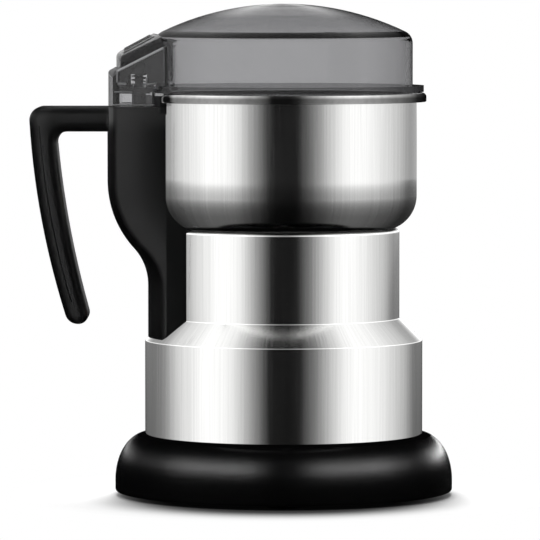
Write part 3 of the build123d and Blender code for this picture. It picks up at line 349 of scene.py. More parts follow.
def finished(mesh: Mesh, name: str, sharp: float = 40.0) -> bpy.types.Object:
    """Makes an object of a bmesh, with its place in the mesh and its edges shaded by angle.

    Args:
        mesh: the shape; it is freed.
        name: the piece's name.
        sharp: angle in degrees above which an edge stays sharp.

    Returns:
        The object, linked to the scene.
    """
    data = bpy.data.meshes.new(name)
    mesh.to_mesh(data)
    mesh.free()
    data.shade_smooth()
    data.set_sharp_from_angle(angle=math.radians(sharp))
    piece = bpy.data.objects.new(name, data)
    bpy.context.scene.collection.objects.link(piece)
    return piece


def even_normals(piece: bpy.types.Object) -> bpy.types.Object:
    """Weights a piece's normals by face area, so that flats stay flat beside small rounds.

    Args:
        piece: the new object.

    Returns:
        The same object.
    """
    weighted = piece.modifiers.new("even normals", "WEIGHTED_NORMAL")
    weighted.keep_sharp = True
    return piece


# ---- Finishes -----------------------------------------------------------------------------------
@dataclass(frozen=True)
class Surface:
    """What a finish is painted on."""

    tree: Tree
    shader: Node  # the Principled node
    spot: Socket  # the place on the piece
    roughness: float  # the finish's mean

    def emboss(self, height: Node | Socket, depth: float) -> None:
        """Adds a relief to what already shapes the shader's normal.

        Args:
            height: pattern of the relief, from 0 to 1.
            depth: of the relief, in mm.
        """
        inputs = {"Height": height, "Strength": 1.0, "Distance": depth * MM}
        normal = self.shader.inputs["Normal"]
        if normal.is_linked:
            inputs["Normal"] = normal.links[0].from_socket
        self.tree.links.new(add_node(self.tree, "Bump", inputs).outputs[0], normal)

    def cover(
        self,
        plain: dict[str, float],
        tone: tuple[Node | Socket, Stops] | None = None,
        gloss: tuple[Node, float, float] | None = None,
        gloss_span: Pair = (0.3, 0.7),
    ) -> None:
        """Gives the shader its plain values and lets patterns vary its colour and gloss.

        Args:
            plain: values of the shader's inputs.
            tone: pattern of the colour, and the colours along it.
            gloss: pattern of the roughness, and what the mean is multiplied by at its two ends.
            gloss_span: the pattern's values at those ends.
        """
        for name, value in plain.items():
            self.shader.inputs[name].default_value = value
        if tone:
            ramp = add_node(self.tree, "ValToRGB", (tone[0],))
            set_stops(ramp.color_ramp, tone[1])
            self.tree.links.new(ramp.outputs[0], self.shader.inputs["Base Color"])
        if gloss:
            pattern, low, high = gloss
            span = (*gloss_span, self.roughness * low, self.roughness * high)
            varied = add_node(self.tree, "MapRange", (pattern, *span))
            self.tree.links.new(varied.outputs[0], self.shader.inputs["Roughness"])


@dataclass(frozen=True)
class Finish:
    """A real finish: its name, main colour and mean roughness."""

    name: str
    colour: str
    roughness: float

    def material(self) -> bpy.types.Material:
        """Makes the finish's material once, and hands it out again after that.

        Returns:
            The material.
        """
        made = bpy.data.materials.get(self.name)
        if made is not None:
            return made
        made, tree = new_material(self.name)
        colour = linear(self.colour)
        made.diffuse_color = colour
        shader = add_node(
            tree, "BsdfPrincipled", {"Base Color": colour, "Roughness": self.roughness}
        )
        spot = add_node(tree, "TexCoord").outputs["Object"]
        self.paint(Surface(tree, shader, spot, self.roughness))
        add_node(tree, "OutputMaterial", {"Surface": shader, **self.inside_of(tree)})
        return made

    def inside_of(self, tree: Tree) -> dict[str, Node]:
        """Makes what fills the piece under its surface: nothing, unless light gets in.

        Args:
            tree: the material's node tree.

        Returns:
            Further inputs of the material's output.
        """
        return {}

    def paint(self, on: Surface) -> None:
        """Adds the finish's own pattern to its shader.

        Args:
            on: the surface that gets it.
        """
        raise NotImplementedError


@dataclass(frozen=True)
class BrushedSteel(Finish):
    """Stainless steel, spun or drawn and then brushed along its height.

    The eye gets fine upright streaks wherever the reflection changes, over broad soft bands.
    """

    dark: str = "#CDCDCC"
    radius: float = 47.0  # mean radius of the turned part, mm
    streak: float = 0.8  # mean width of a brush mark, mm
    band: float = 6.0  # width of the slow changes in brightness, mm
    band_share: float = 0.3  # of the bands in the colour's pattern
    stretch: float = 0.012  # a mark's width over its length
    depth: float = 0.0016  # of the marks, mm, drawn deeper than real ones so that they show
    pull: float = 0.0  # how far drawing has pulled the wall in above its corner, mm
    pull_low: float = 0.0  # levels between which it does so, mm
    pull_high: float = 1.0

    def paint(self, on: Surface) -> None:
        """Adds streaks that run up the metal and down its slopes, and the drawn wall's lean.

        Args:
            on: the surface that gets it.
        """
        flat = add_node(on.tree, "Mapping", {"Vector": on.spot, "Scale": (1.0, 1.0, 0.0)})
        way = add_node(on.tree, "VectorMath", (flat,), operation="NORMALIZE")
        upright = add_node(
            on.tree, "Mapping", {"Vector": on.spot, "Scale": (0.0, 0.0, self.stretch)}
        )
        along = add_node(
            on.tree, "VectorMath", (way, (self.radius * MM,) * 3, upright), operation="MULTIPLY_ADD"
        )
        scale = PER_METRE / self.streak
        marks = add_node(
            on.tree, "TexNoise", {"Vector": along, "Scale": scale, "Detail": 3.0, "Roughness": 0.6}
        )
        bands = add_node(
            on.tree, "TexNoise", {"Vector": along, "Scale": PER_METRE / self.band, "Detail": 1.0}
        )
        both = add_node(on.tree, "Mix", {0: self.band_share, 2: marks, 3: bands}, data_type="FLOAT")
        tone = (both, [(0.32, self.dark), (0.68, self.colour)])
        on.cover({"Metallic": 1.0}, tone, (marks, 0.8, 1.25))
        on.emboss(marks, self.depth)
        if self.pull:
            axes = add_node(on.tree, "SeparateXYZ", (on.spot,))
            span = (self.pull_low * MM, self.pull_high * MM)
            drawn = add_node(
                on.tree, "MapRange", (axes.outputs["Z"], *span), interpolation_type="SMOOTHSTEP"
            )
            on.emboss(drawn, self.pull)


@dataclass(frozen=True)
class PolishedMetal(Finish):
    """Metal polished on a wheel: clear reflections with a faint waviness and hairline marks."""

    dark: str = "#C8C8C7"
    wave: float = 7.0  # length of the polish's waviness, mm
    depth: float = 0.004  # height of the waviness, mm
    smear: float = 0.35  # size of a wiping mark over the length of a wave

    def paint(self, on: Surface) -> None:
        """Adds waviness to the height and light smears to the gloss.

        Args:
            on: the surface that gets it.
        """
        waves = add_node(
            on.tree, "TexNoise", {"Vector": on.spot, "Scale": PER_METRE / self.wave, "Detail": 1.0}
        )
        scale = PER_METRE / (self.wave * self.smear)
        smears = add_node(
            on.tree,
            "TexNoise",
            {"Vector": on.spot, "Scale": scale, "Detail": 4.0, "Roughness": 0.6},
        )
        tone = (smears, [(0.3, self.dark), (0.6, self.colour)])
        on.cover({"Metallic": 1.0}, tone, (smears, 0.75, 1.4))
        on.emboss(waves, self.depth)


@dataclass(frozen=True)
class MouldedPlastic(Finish):
    """Injection-moulded plastic from a spark-eroded mould.

    The eye gets a fine even grain that breaks highlights up, and a sheen that varies slowly.
    """

    worn: str = "#1B1B1C"
    grain: float = 0.55  # mm, a little coarser than the real grain so that it shows
    depth: float = 0.012  # mm
    specular: float = 0.5
    flow: float = 28.0  # length of the slow changes in gloss, mm

    def paint(self, on: Surface) -> None:
        """Adds the mould's grain to height and colour, and slow changes to the gloss.

        Args:
            on: the surface that gets it.
        """
        scale = PER_METRE / self.grain
        grains = add_node(
            on.tree,
            "TexNoise",
            {"Vector": on.spot, "Scale": scale, "Detail": 2.0, "Roughness": 0.65},
        )
        flow = add_node(
            on.tree, "TexNoise", {"Vector": on.spot, "Scale": PER_METRE / self.flow, "Detail": 2.0}
        )
        plain = {"Specular IOR Level": self.specular}
        tone = (grains, [(0.35, self.colour), (0.75, self.worn)])
        on.cover(plain, tone, (flow, 0.9, 1.1))
        on.emboss(grains, self.depth)


@dataclass(frozen=True)
class RubbedPlastic(MouldedPlastic):
    """Grained ABS that is matt beside the part it closes on and glossier further out.

    The eye gets a black without reflections next to the steel, then the soft highlight.
    """

    matt_radius: float = 53.0  # mm from the upright axis
    gloss_radius: float = 58.0

    def paint(self, on: Surface) -> None:
        """Lets the reflection grow with the distance from the axis.

        Args:
            on: the surface that gets it.
        """
        super().paint(on)
        flat = add_node(on.tree, "Mapping", {"Vector": on.spot, "Scale": (1.0, 1.0, 0.0)})
        reach = add_node(on.tree, "VectorMath", (flat,), operation="LENGTH")
        span = (self.matt_radius * MM, self.gloss_radius * MM, 0.0, self.specular)
        mirror = add_node(on.tree, "MapRange", (reach.outputs["Value"], *span))
        on.tree.links.new(mirror.outputs[0], on.shader.inputs["Specular IOR Level"])


@dataclass(frozen=True)
class CrownedPlastic(MouldedPlastic):
    """Grained ABS of a moulding whose broad flanks are slightly crowned from back to front.

    The eye gets a soft sheen that swells along the flank's back and dies away towards the cup.
    """

    back: float = -63.45  # of the column above its bend, mm from the axis
    foot: float = -48.9  # of the column below its bend
    bend_low: float = 76.0
    bend_high: float = 113.5
    width: float = 22.0  # of the flank, mm
    grip_centre: Pair = (0.0, 0.0)  # of the grip's outer arc, X and Z
    grip_radius: float = 0.0
    grip_width: float = 9.0
    grip_crown: float = 5.0
    arm_top: float = 140.2
    crown: float = 5.4  # drawn much fuller than the real one, so that the sheen shows

    def paint(self, on: Surface) -> None:
        """Adds the crowns of column, grip and arm under the mould's grain.

        Args:
            on: the surface that gets it.
        """
        super().paint(on)
        axes = add_node(on.tree, "SeparateXYZ", (on.spot,))
        span = (self.bend_low * MM, self.bend_high * MM, self.foot * MM, self.back * MM)
        edge = add_node(
            on.tree, "MapRange", (axes.outputs["Z"], *span), interpolation_type="SMOOTHSTEP"
        )
        inward = add_node(on.tree, "Math", (axes.outputs["X"], edge), operation="SUBTRACT")
        share = add_node(on.tree, "MapRange", (inward, 0.0, self.width * MM))
        rest = add_node(on.tree, "Math", (1.0, share), operation="SUBTRACT")
        swell = add_node(on.tree, "Math", (share, rest), operation="MULTIPLY")
        on.emboss(swell, self.crown)

        x, z = self.grip_centre
        flat = add_node(
            on.tree,
            "Mapping",
            {"Vector": on.spot, "Location": (-x * MM, 0.0, -z * MM), "Scale": (1.0, 0.0, 1.0)},
        )
        reach = add_node(on.tree, "VectorMath", (flat,), operation="LENGTH")
        grip = self.rising(on.tree, reach.outputs["Value"], self.grip_radius)
        arm = self.rising(on.tree, axes.outputs["Z"], self.arm_top)
        both = add_node(on.tree, "Math", (grip, arm), operation="ADD")
        on.emboss(both, self.grip_crown)

    def rising(self, tree: Tree, way: Socket, edge: float) -> Node:
        """Makes a height that rises inwards from an edge and flattens a grip's width further in.

        Args:
            tree: the material's node tree.
            way: what says where a place is.
            edge: where it starts, in mm.

        Returns:
            The height, from 0 to 0.5.
        """
        inner = edge - self.grip_width
        share = add_node(tree, "MapRange", (way, edge * MM, inner * MM))
        half = add_node(tree, "Math", (share, -0.5, 1.0), operation="MULTIPLY_ADD")
        return add_node(tree, "Math", (share, half), operation="MULTIPLY")


@dataclass(frozen=True)
class SmokedClear(Finish):
    """Smoked polycarbonate, moulded in a polished mould.

    The eye sees through it as through grey glass, darker where it is thick or seen edge on, with a
    faint moulding waviness.
    """

    inside: str = "#8A8A8C"
    density: float = 235.0  # per metre: about half of the light passes 3 mm
    wave: float = 22.0  # mm
    depth: float = 0.01  # mm
    mark: float = 3.0  # size of a wiping mark, mm

    def inside_of(self, tree: Tree) -> dict[str, Node]:
        """Makes the plastic's own grey.

        Args:
            tree: the material's node tree.

        Returns:
            Absorption for the material's volume.
        """
        inputs = {"Color": linear(self.inside), "Density": self.density}
        return {"Volume": add_node(tree, "VolumeAbsorption", inputs)}

    def paint(self, on: Surface) -> None:
        """Adds transmission, waviness and fine wiping marks.

        Args:
            on: the surface that gets it.
        """
        waves = add_node(
            on.tree, "TexNoise", {"Vector": on.spot, "Scale": PER_METRE / self.wave, "Detail": 1.0}
        )
        wiped = add_node(
            on.tree, "TexNoise", {"Vector": on.spot, "Scale": PER_METRE / self.mark, "Detail": 3.0}
        )
        plain = {"Transmission Weight": 1.0, "IOR": 1.585}
        on.cover(plain, gloss=(wiped, 1.0, 3.0), gloss_span=(0.45, 0.75))
        on.emboss(waves, self.depth)


@dataclass(frozen=True)
class MottledSurface(Finish):
    """Plain technical surface with soft mottling: rubber, zinc, brass, bronze or carbon.

    The eye gets small clouds of a second tone that are glossier or duller than the rest.
    """

    second: str = "#555555"
    mottle: float = 2.0  # mm
    depth: float = 0.01  # mm
    metallic: float = 0.0

    def paint(self, on: Surface) -> None:
        """Adds mottling to colour, gloss and height.

        Args:
            on: the surface that gets it.
        """
        scale = PER_METRE / self.mottle
        mottle = add_node(
            on.tree,
            "TexNoise",
            {"Vector": on.spot, "Scale": scale, "Detail": 4.0, "Roughness": 0.6},
        )
        tone = (mottle, [(0.3, self.second), (0.7, self.colour)])
        on.cover({"Metallic": self.metallic}, tone, (mottle, 1.2, 0.85))
        on.emboss(mottle, self.depth)


class Run(Enum):
    """Direction in which lines follow each other."""

    UPRIGHT = "Z"
    ACROSS = "X"
    DEEP = "Y"


@dataclass(frozen=True)
class LinedSurface(Finish):
    """Surface made of lines side by side: stacked sheets, wound wire, ground or turned metal.

    The eye gets fine parallel lines with dark gaps, which wander a little.
    """

    gap: str = "#303030"
    pitch: float = 0.7  # of the real lines, mm; drawn 2 pi times as wide, so that they show
    run: Run = Run.UPRIGHT
    depth: float = 0.05  # mm
    metallic: float = 1.0
    coat: float = 0.0
    waver: float = 0.6

    def paint(self, on: Surface) -> None:
        """Adds the lines to colour and height, with a little wandering.

        Args:
            on: the surface that gets it.
        """
        scale = PER_METRE / self.pitch / 20  # one line takes 2 pi / 20 at a scale of 1
        lines = add_node(
            on.tree,
            "TexWave",
            {"Vector": on.spot, "Scale": scale, "Distortion": self.waver, "Detail": 2.0},
            wave_type="BANDS",
            bands_direction=self.run.value,
        ).outputs["Fac"]
        plain = {"Metallic": self.metallic, "Coat Weight": self.coat, "Coat Roughness": 0.2}
        on.cover(plain, (lines, [(0.05, self.gap), (0.4, self.colour)]))
        on.emboss(lines, self.depth)


# Steel: clear streaked reflections on body and cup, a mirror on the rim.
BODY_STEEL = BrushedSteel("brushed_stainless_body", "#DBDBDA", 0.13)
CUP_STEEL = BrushedSteel(
    "brushed_stainless_cup", "#DBDBDA", 0.16, pull=2.1, pull_low=100.0, pull_high=115.0
)
RIM_STEEL = PolishedMetal("polished_stainless_rim", "#D6D6D5", 0.06)
# Black plastic: deep black with a soft sheen where the studio is bright.
BASE_ABS = RubbedPlastic("grained_black_abs_base", "#050505", 0.23, "#0A0A0B")
GRIP_ARC = ((-91.5, 140.2), (-87.75, 104.1), (-77.5, 62.3))  # X and Z along its outer edge
GRIP_CENTRE = circle_centre(*GRIP_ARC)
GRIP_RADIUS = math.dist(GRIP_CENTRE, GRIP_ARC[0])
HANDLE_ABS = CrownedPlastic(
    "grained_black_abs_handle",
    "#070707",
    0.36,
    "#0D0D0E",
    grip_centre=GRIP_CENTRE,
    grip_radius=GRIP_RADIUS,
)
WELT_ABS = MouldedPlastic("satin_black_abs_welts", "#0C0C0C", 0.32, "#131314")
BUTTON_ABS = MouldedPlastic("satin_black_abs_button", "#101011", 0.25, "#161617", 0.4, 0.004)
# Polycarbonate: grey glass; the light grey of the side housing's edge beads and rails is a painted
# glint.
LID_CLEAR = SmokedClear("smoked_clear_polycarbonate", "#F2F2F3", 0.015)
LID_EDGE_PAINTED_GLINT = MouldedPlastic("painted_glint_edge_grey", "#8C8C8E", 0.35, "#A0A0A2", 0.6, 0.006)
LID_RAIL_PAINTED_GLINT = MouldedPlastic("painted_glint_rail_grey", "#B4B4B6", 0.3, "#C4C4C6", 0.6, 0.006)
# Rubber and silicone: dull, with a bloom that hardly shows.
RUBBER = MottledSurface("black_moulded_rubber", "#181819", 0.75, "#101011", 0.8, 0.02)
SILICONE = MottledSurface("grey_moulded_silicone", "#9A9A9A", 0.6, "#8A8A8A", 0.8, 0.01)
# Plated, pressed, turned and ground metal inside: half bright, cloudy or lined by its tool.
SCREW_STEEL = MottledSurface("zinc_plated_steel_screws", "#B9BABC", 0.3, "#8E8F90", 1.5, 0.004, 1.0)
SPRING_STEEL = PolishedMetal("drawn_spring_steel", "#C4C5C7", 0.18, "#8F9092", 2.0, 0.002)
PRESSED_STEEL = MottledSurface("pressed_zinc_steel", "#A9ABAE", 0.35, "#7C7E82", 5.0, 0.01, 1.0)
SHAFT_STEEL = LinedSurface("turned_steel_shaft", "#BFC0C2", 0.2, "#9B9C9E", 0.5, depth=0.002)
BLADE_STEEL = LinedSurface(
    "ground_stainless_blades", "#C9CACB", 0.24, "#A6A7A8", 0.5, Run.ACROSS, 0.003, waver=2.0
)
BUSH_BRASS = LinedSurface("turned_brass_bush", "#C9A653", 0.22, "#A98639", 0.5, depth=0.003)
TERMINAL_BRASS = MottledSurface("tinned_brass", "#C8B070", 0.3, "#9E8446", 2.0, 0.003, 1.0)
BRONZE = MottledSurface("sintered_bronze", "#A8713B", 0.45, "#7B4F27", 0.4, 0.01, 1.0)
# Motor: grey stacked sheets, and red-brown varnished wire that glints.
LAMINATIONS = LinedSurface("stacked_core_laminations", "#6E7073", 0.42, "#2E2F31", 0.8)
WINDINGS = LinedSurface(
    "enamelled_copper_windings", "#B5642E", 0.3, "#4E2410", 0.8, Run.DEEP, 0.12, 0.9, 0.6
)
COMMUTATOR = LinedSurface("turned_copper_commutator", "#B87348", 0.28, "#8C5330", 0.5, depth=0.003)
CARBON = MottledSurface("pressed_carbon", "#2A2A2B", 0.55, "#1B1B1C", 0.5, 0.02)
# Technical plastics: satin, in the dull colours of their fillers.
CARRIER_PLASTIC = MouldedPlastic("glass_filled_nylon_carrier", "#3A3B3C", 0.55, "#4B4C4D", 0.7)
FAN_PLASTIC = MouldedPlastic("moulded_nylon_fan", "#D9D8D2", 0.45, "#C9C8C1", 0.9)
SWITCH_PLASTIC = MouldedPlastic("phenolic_switch_case", "#2B1A14", 0.4, "#3A241B", 0.6)
TERMINAL_PLASTIC = MouldedPlastic("nylon_terminal_block", "#DCDAD2", 0.4, "#CFCDC4", 0.7)
CAPACITOR_PLASTIC = MouldedPlastic("filled_capacitor_case", "#B7862F", 0.35, "#A67725", 0.8)

NODE_FINISHES: dict[Finish, tuple[str, ...]] = {
    RUBBER: ("rubber_feet", "cord_gland", "cup_gasket"),
    BASE_ABS: ("bottom_plate", "base_housing"),
    SCREW_STEEL: (
        "bottom_screws",
        "tie_screws",
        "cup_nut",
        "column_screws",
        "switch_screws",
        "bracket_screws",
        "motor_bolts",
    ),
    CARRIER_PLASTIC: ("motor_carrier", "blade_collar"),
    BUSH_BRASS: ("cup_bush",),
    HANDLE_ABS: ("handle",),
    SWITCH_PLASTIC: ("switch_body",),
    TERMINAL_BRASS: ("switch_terminals", "brush_holders"),
    TERMINAL_PLASTIC: ("switch_pin", "terminal_block"),
    SPRING_STEEL: ("switch_lever", "brush_springs"),
    BUTTON_ABS: ("plunger", "lid_button"),
    LID_CLEAR: ("lid", "spring_bar"),
    PRESSED_STEEL: ("upper_bracket", "lower_bracket"),
    BRONZE: ("upper_bearing", "lower_bearing"),
    LAMINATIONS: ("stator_core", "armature_core"),
    WINDINGS: ("field_coils", "armature_windings"),
    SHAFT_STEEL: ("motor_shaft",),
    COMMUTATOR: ("commutator",),
    FAN_PLASTIC: ("cooling_fan",),
    CARBON: ("carbon_brushes",),
    CAPACITOR_PLASTIC: ("capacitor",),
    BLADE_STEEL: ("lower_blade", "upper_blade", "blade_washer", "blade_nut"),
}


# ---- Sub-assemblies -----------------------------------------------------------------------------
class Assembly:
    """What every sub-assembly shares: it makes pieces and hides the CAD nodes that they replace."""

    def place(
        self, piece: bpy.types.Object, finish: Finish, body: str, slot: str, *nodes: str
    ) -> None:
        """Dresses a new piece, ties it to its body and hides the CAD nodes that it stands for.

        Args:
            piece: the new object.
            finish: its finish.
            body: CAD body that it moves with.
            slot: the record's material slot; not used.
            nodes: CAD nodes that it replaces.
        """
        piece.data.materials.clear()
        piece.data.materials.append(finish.material())
        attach(piece, body)
        if nodes:
            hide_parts(*nodes)
        LOG.info("piece %s rides on %s", piece.name, body)

    def build(self) -> None:
        """Builds and dresses the sub-assembly's pieces."""
        raise NotImplementedError


@dataclass
class TurnedSheet(Assembly):
    """Thin sheet metal, spun or drawn to a round shape."""

    wall: float = 0.6
    steps: int = 256

    def section(self) -> Profile:
        """Returns the outer half section."""
        raise NotImplementedError

    def turned(self, name: str) -> bpy.types.Object:
        """Turns the section and gives the sheet its thickness.

        Args:
            name: the piece's name.

        Returns:
            The piece, without a finish.
        """
        shell = self.section().turned(self.steps)
        bmesh.ops.solidify(shell, geom=shell.faces[:], thickness=self.wall * MM)
        return even_normals(finished(shell, name))


@dataclass
class SteelBody(TurnedSheet):
    """Drum, shoulder, neck and deck in one spinning of thin steel."""

    drum_radius: float = 50.0
    drum_bottom: float = 22.2
    drum_top: float = 56.0
    neck_radius: float = 41.7
    neck_bottom: float = 64.0
    deck: float = 95.5
    deck_hole: float = 9.0
    edge_round: float = 0.55
    foot_round: float = 0.2
    neck_round: float = 1.5
    lip: float = 0.72  # of the neck's edge above the deck
    lip_run: float = 0.8  # of the lip's inner slope

    def section(self) -> Profile:
        """Draws the outer half section.

        Returns:
            The section, from the foot to the deck's hole.
        """
        drop, step = self.neck_bottom - self.drum_top, self.drum_radius - self.neck_radius
        slope = math.atan2(step, drop)
        turn = math.degrees(slope)
        slide = self.edge_round * math.tan(slope / 2)
        foot, top = self.foot_round, self.deck + self.lip
        edge = self.neck_radius - self.neck_round
        shoulder = (
            self.neck_radius + slide * math.sin(slope), self.neck_bottom - slide * math.cos(slope)
        )
        pen = Profile(self.drum_radius - foot, self.drum_bottom)
        pen.arc(self.drum_radius - foot, self.drum_bottom + foot, -90, 4)
        pen.line((self.drum_radius, self.drum_top - slide))
        pen.arc(self.drum_radius - self.edge_round, self.drum_top - slide, -turn, 6)
        pen.line(shoulder)
        pen.arc(self.neck_radius + self.edge_round, self.neck_bottom + slide, turn, 6)
        pen.line((self.neck_radius, top - self.neck_round))
        pen.arc(edge, top - self.neck_round, -90, 8)
        pen.line((edge - self.lip_run, self.deck), (self.deck_hole, self.deck))
        return pen

    def build(self) -> None:
        """Turns the sheet; what is beside the drum mirrors the studio and not the drum."""
        piece = self.turned("steel_body")
        piece.visible_glossy = False
        self.place(piece, BODY_STEEL, "body", "body_steel", "body_shell")


@dataclass
class GrindingBowl(TurnedSheet):
    """Deep-drawn steel cup with a rounded bottom, open to the blades above."""

    wall: float = 0.8
    radius: float = 47.9
    bottom: float = 95.5
    mouth: float = 145.1
    corner: float = 12.6
    hole: float = 6.1

    def section(self) -> Profile:
        """Draws the outer half section.

        Returns:
            The section, from the middle hole to the mouth.
        """
        pen = Profile(self.hole, self.bottom)
        pen.line((self.radius - self.corner, self.bottom))
        pen.arc(self.radius - self.corner, self.bottom + self.corner, -90, 24)
        pen.line((self.radius, self.mouth))
        return pen

    def build(self) -> None:
        """Turns the sheet."""
        self.place(self.turned("steel_cup"), CUP_STEEL, "body", "cup_steel", "grinding_cup")


@dataclass
class CupSeat(Assembly):
    """Thin silicone ring on the deck, under the curve of the cup's bottom."""

    inner: float = 37.3
    outer: float = 39.9
    deck: float = 95.5
    height: float = 0.6
    inner_height: float = 0.1
    clearance: float = 0.01  # above the deck
    edge_round: float = 0.25

    def build(self) -> None:
        """Turns a wedge-shaped section with a rounded outer edge."""
        foot, top = self.deck + self.clearance, self.deck + self.height
        edge = self.outer - self.edge_round
        pen = Profile(self.inner, foot)
        pen.line((self.inner, self.deck + self.inner_height))
        pen.line((edge - self.edge_round, top), (edge, top))
        pen.arc(edge, top - self.edge_round, 90, 5)
        pen.line((self.outer, foot), (self.inner, foot))
        self.place(finished(pen.turned(128), "cup_seat"), SILICONE, "body", "rubber")


@dataclass
class RimRing(Assembly):
    """Polished ring round the cup's mouth, open at the handle, with blunt noses at its ends."""

    inner: float = 47.95
    outer: float = 51.35
    bottom: float = 141.8
    top: float = 145.1
    top_round: float = 1.6
    bottom_round: float = 0.45
    open_half: float = 31.3  # degrees of the opening on each side of -X
    nose: float = 1.5  # depth of the noses
    nose_steps: int = 6
    nose_tip: float = 0.25  # size of a nose's last face over that of the section
    nose_bluntness: float = 0.75  # 1 would be an ellipse, less is blunter

    def blunt(self, mesh: Mesh, face: bmesh.types.BMFace, way: int) -> None:
        """Rounds one end of the ring.

        Args:
            mesh: the ring.
            face: its end face.
            way: 1 where the ring would go on anticlockwise, -1 where it would go on clockwise.
        """
        middle = (self.inner + self.outer) / 2 * MM
        level = (self.bottom + self.top) / 2 * MM
        size, gone = 1.0, 0.0
        for index in range(1, self.nose_steps + 1):
            quarter = math.pi / 2 * index / self.nose_steps
            wanted = max(self.nose_tip, math.cos(quarter) ** self.nose_bluntness)
            made = bmesh.ops.extrude_face_region(mesh, geom=[face])
            bmesh.ops.delete(mesh, geom=[face], context="FACES_ONLY")
            face = next(f for f in made["geom"] if isinstance(f, bmesh.types.BMFace))
            verts = face.verts[:]
            turn = way * self.nose / self.outer * (math.sin(quarter) - gone)
            matrix = Matrix.Rotation(turn, 3, "Z")
            bmesh.ops.rotate(mesh, verts=verts, cent=(0, 0, 0), matrix=matrix)
            flat = face.calc_center_median()
            flat.z = 0
            space = Matrix.Translation(-(flat.normalized() * middle + Vector((0, 0, level))))
            bmesh.ops.scale(mesh, verts=verts, vec=(wanted / size,) * 3, space=space)
            size, gone = wanted, math.sin(quarter)

    def build(self) -> None:
        """Sweeps the section round and rounds both ends."""
        pen = Profile(self.inner, self.top)
        pen.line((self.outer - self.top_round, self.top))
        pen.arc(self.outer - self.top_round, self.top - self.top_round, 90, 10)
        pen.line((self.outer, self.bottom + self.bottom_round))
        pen.arc(self.outer - self.bottom_round, self.bottom + self.bottom_round, 90, 5)
        pen.line((self.inner, self.bottom), (self.inner, self.top))
        gap = self.open_half + math.degrees(self.nose / self.outer)
        mesh = pen.swept(gap - 180, 360 - 2 * gap, 224)
        ends = [f for f in mesh.faces if len(f.verts) > 4]
        first, last = sorted(ends, key=lambda f: f.calc_center_median().y)
        self.blunt(mesh, first, -1)
        self.blunt(mesh, last, 1)
        bmesh.ops.recalc_face_normals(mesh, faces=mesh.faces[:])
        piece = even_normals(finished(mesh, "polished_rim"))
        self.place(piece, RIM_STEEL, "body", "rim_chrome", "rim_ring")


@dataclass
class Grip(Assembly):
    """Fine welts that run down both sides of the grip beside its outer edge."""

    half_depth: float = 10.5
    inset: float = 3.5  # from the grip's outer edge
    end_gap: float = 7.0  # of the arc that is left free at both ends
    welt_radius: float = 0.34
    sunk: float = 0.14

    def welt(self, side: int) -> Mesh:
        """Makes one welt along the grip's outer arc.

        Args:
            side: -1 for the front, 1 for the back.

        Returns:
            The welt's mesh.
        """
        x, z = GRIP_CENTRE
        radius, level = GRIP_RADIUS - self.inset, side * (self.half_depth - self.sunk)
        start, end = (math.atan2(GRIP_ARC[i][1] - z, GRIP_ARC[i][0] - x) for i in (0, -1))
        margin = self.end_gap / radius
        start += margin
        angle = (end - start) % (2 * math.pi) - margin
        first = Vector((x + radius * math.cos(start), level, z + radius * math.sin(start)))
        mesh = bmesh.new()
        bmesh.ops.create_circle(
            mesh,
            cap_ends=True,
            radius=self.welt_radius * MM,
            segments=12,
            matrix=Matrix.Translation(first * MM) @ Matrix.Rotation(-start, 4, "Y"),
        )
        bmesh.ops.spin(
            mesh,
            geom=mesh.verts[:] + mesh.edges[:] + mesh.faces[:],
            cent=Vector((x, level, z)) * MM,
            axis=(0, -1, 0),
            angle=angle,
            steps=40,
            use_merge=False,
        )
        bmesh.ops.recalc_face_normals(mesh, faces=mesh.faces[:])
        return mesh

    def build(self) -> None:
        """Makes the welts of both sides in one piece."""
        whole = bmesh.new()
        for side in (-1, 1):
            join(whole, self.welt(side))
        self.place(finished(whole, "grip_welts"), WELT_ABS, "body", "handle_plastic")


@dataclass
class ButtonTop(Assembly):
    """Low ribs along the slope of the button's crowned face."""

    back: float = -57.3
    inner_radius: float = 47.0  # of the button's concave front
    margin: float = 0.9
    half_width: float = 12.6
    slope: float = 28.15
    housing_back: float = -63.1
    face_level: float = 157.7  # of the crown's top line above the housing's back edge
    crown: float = 1.9
    crown_half: float = 15.5
    ribs: int = 7
    rib_radius: float = 0.5
    sunk: float = 0.22

    def rib(self, mesh: Mesh, across: float) -> None:
        """Adds one rib.

        Args:
            mesh: bmesh that gets it.
            across: the rib's distance from the button's middle, in mm.
        """
        turn = math.radians(self.slope)
        front = -math.sqrt(self.inner_radius**2 - across**2) - self.margin
        drop = crown_drop(across, self.crown_half, self.crown) + self.sunk
        low, high = (
            self.face_level + (x - self.housing_back) * math.tan(turn) - drop / math.cos(turn)
            for x in (self.back, front)
        )
        add_rod(mesh, (self.back, across, low), (front, across, high), self.rib_radius)

    def build(self) -> None:
        """Makes all of the ribs in one piece on the button."""
        mesh = bmesh.new()
        for index in range(self.ribs):
            self.rib(mesh, self.half_width * (2 * index / (self.ribs - 1) - 1))
        self.place(finished(mesh, "button_ribs"), BUTTON_ABS, "button", "button_plastic")


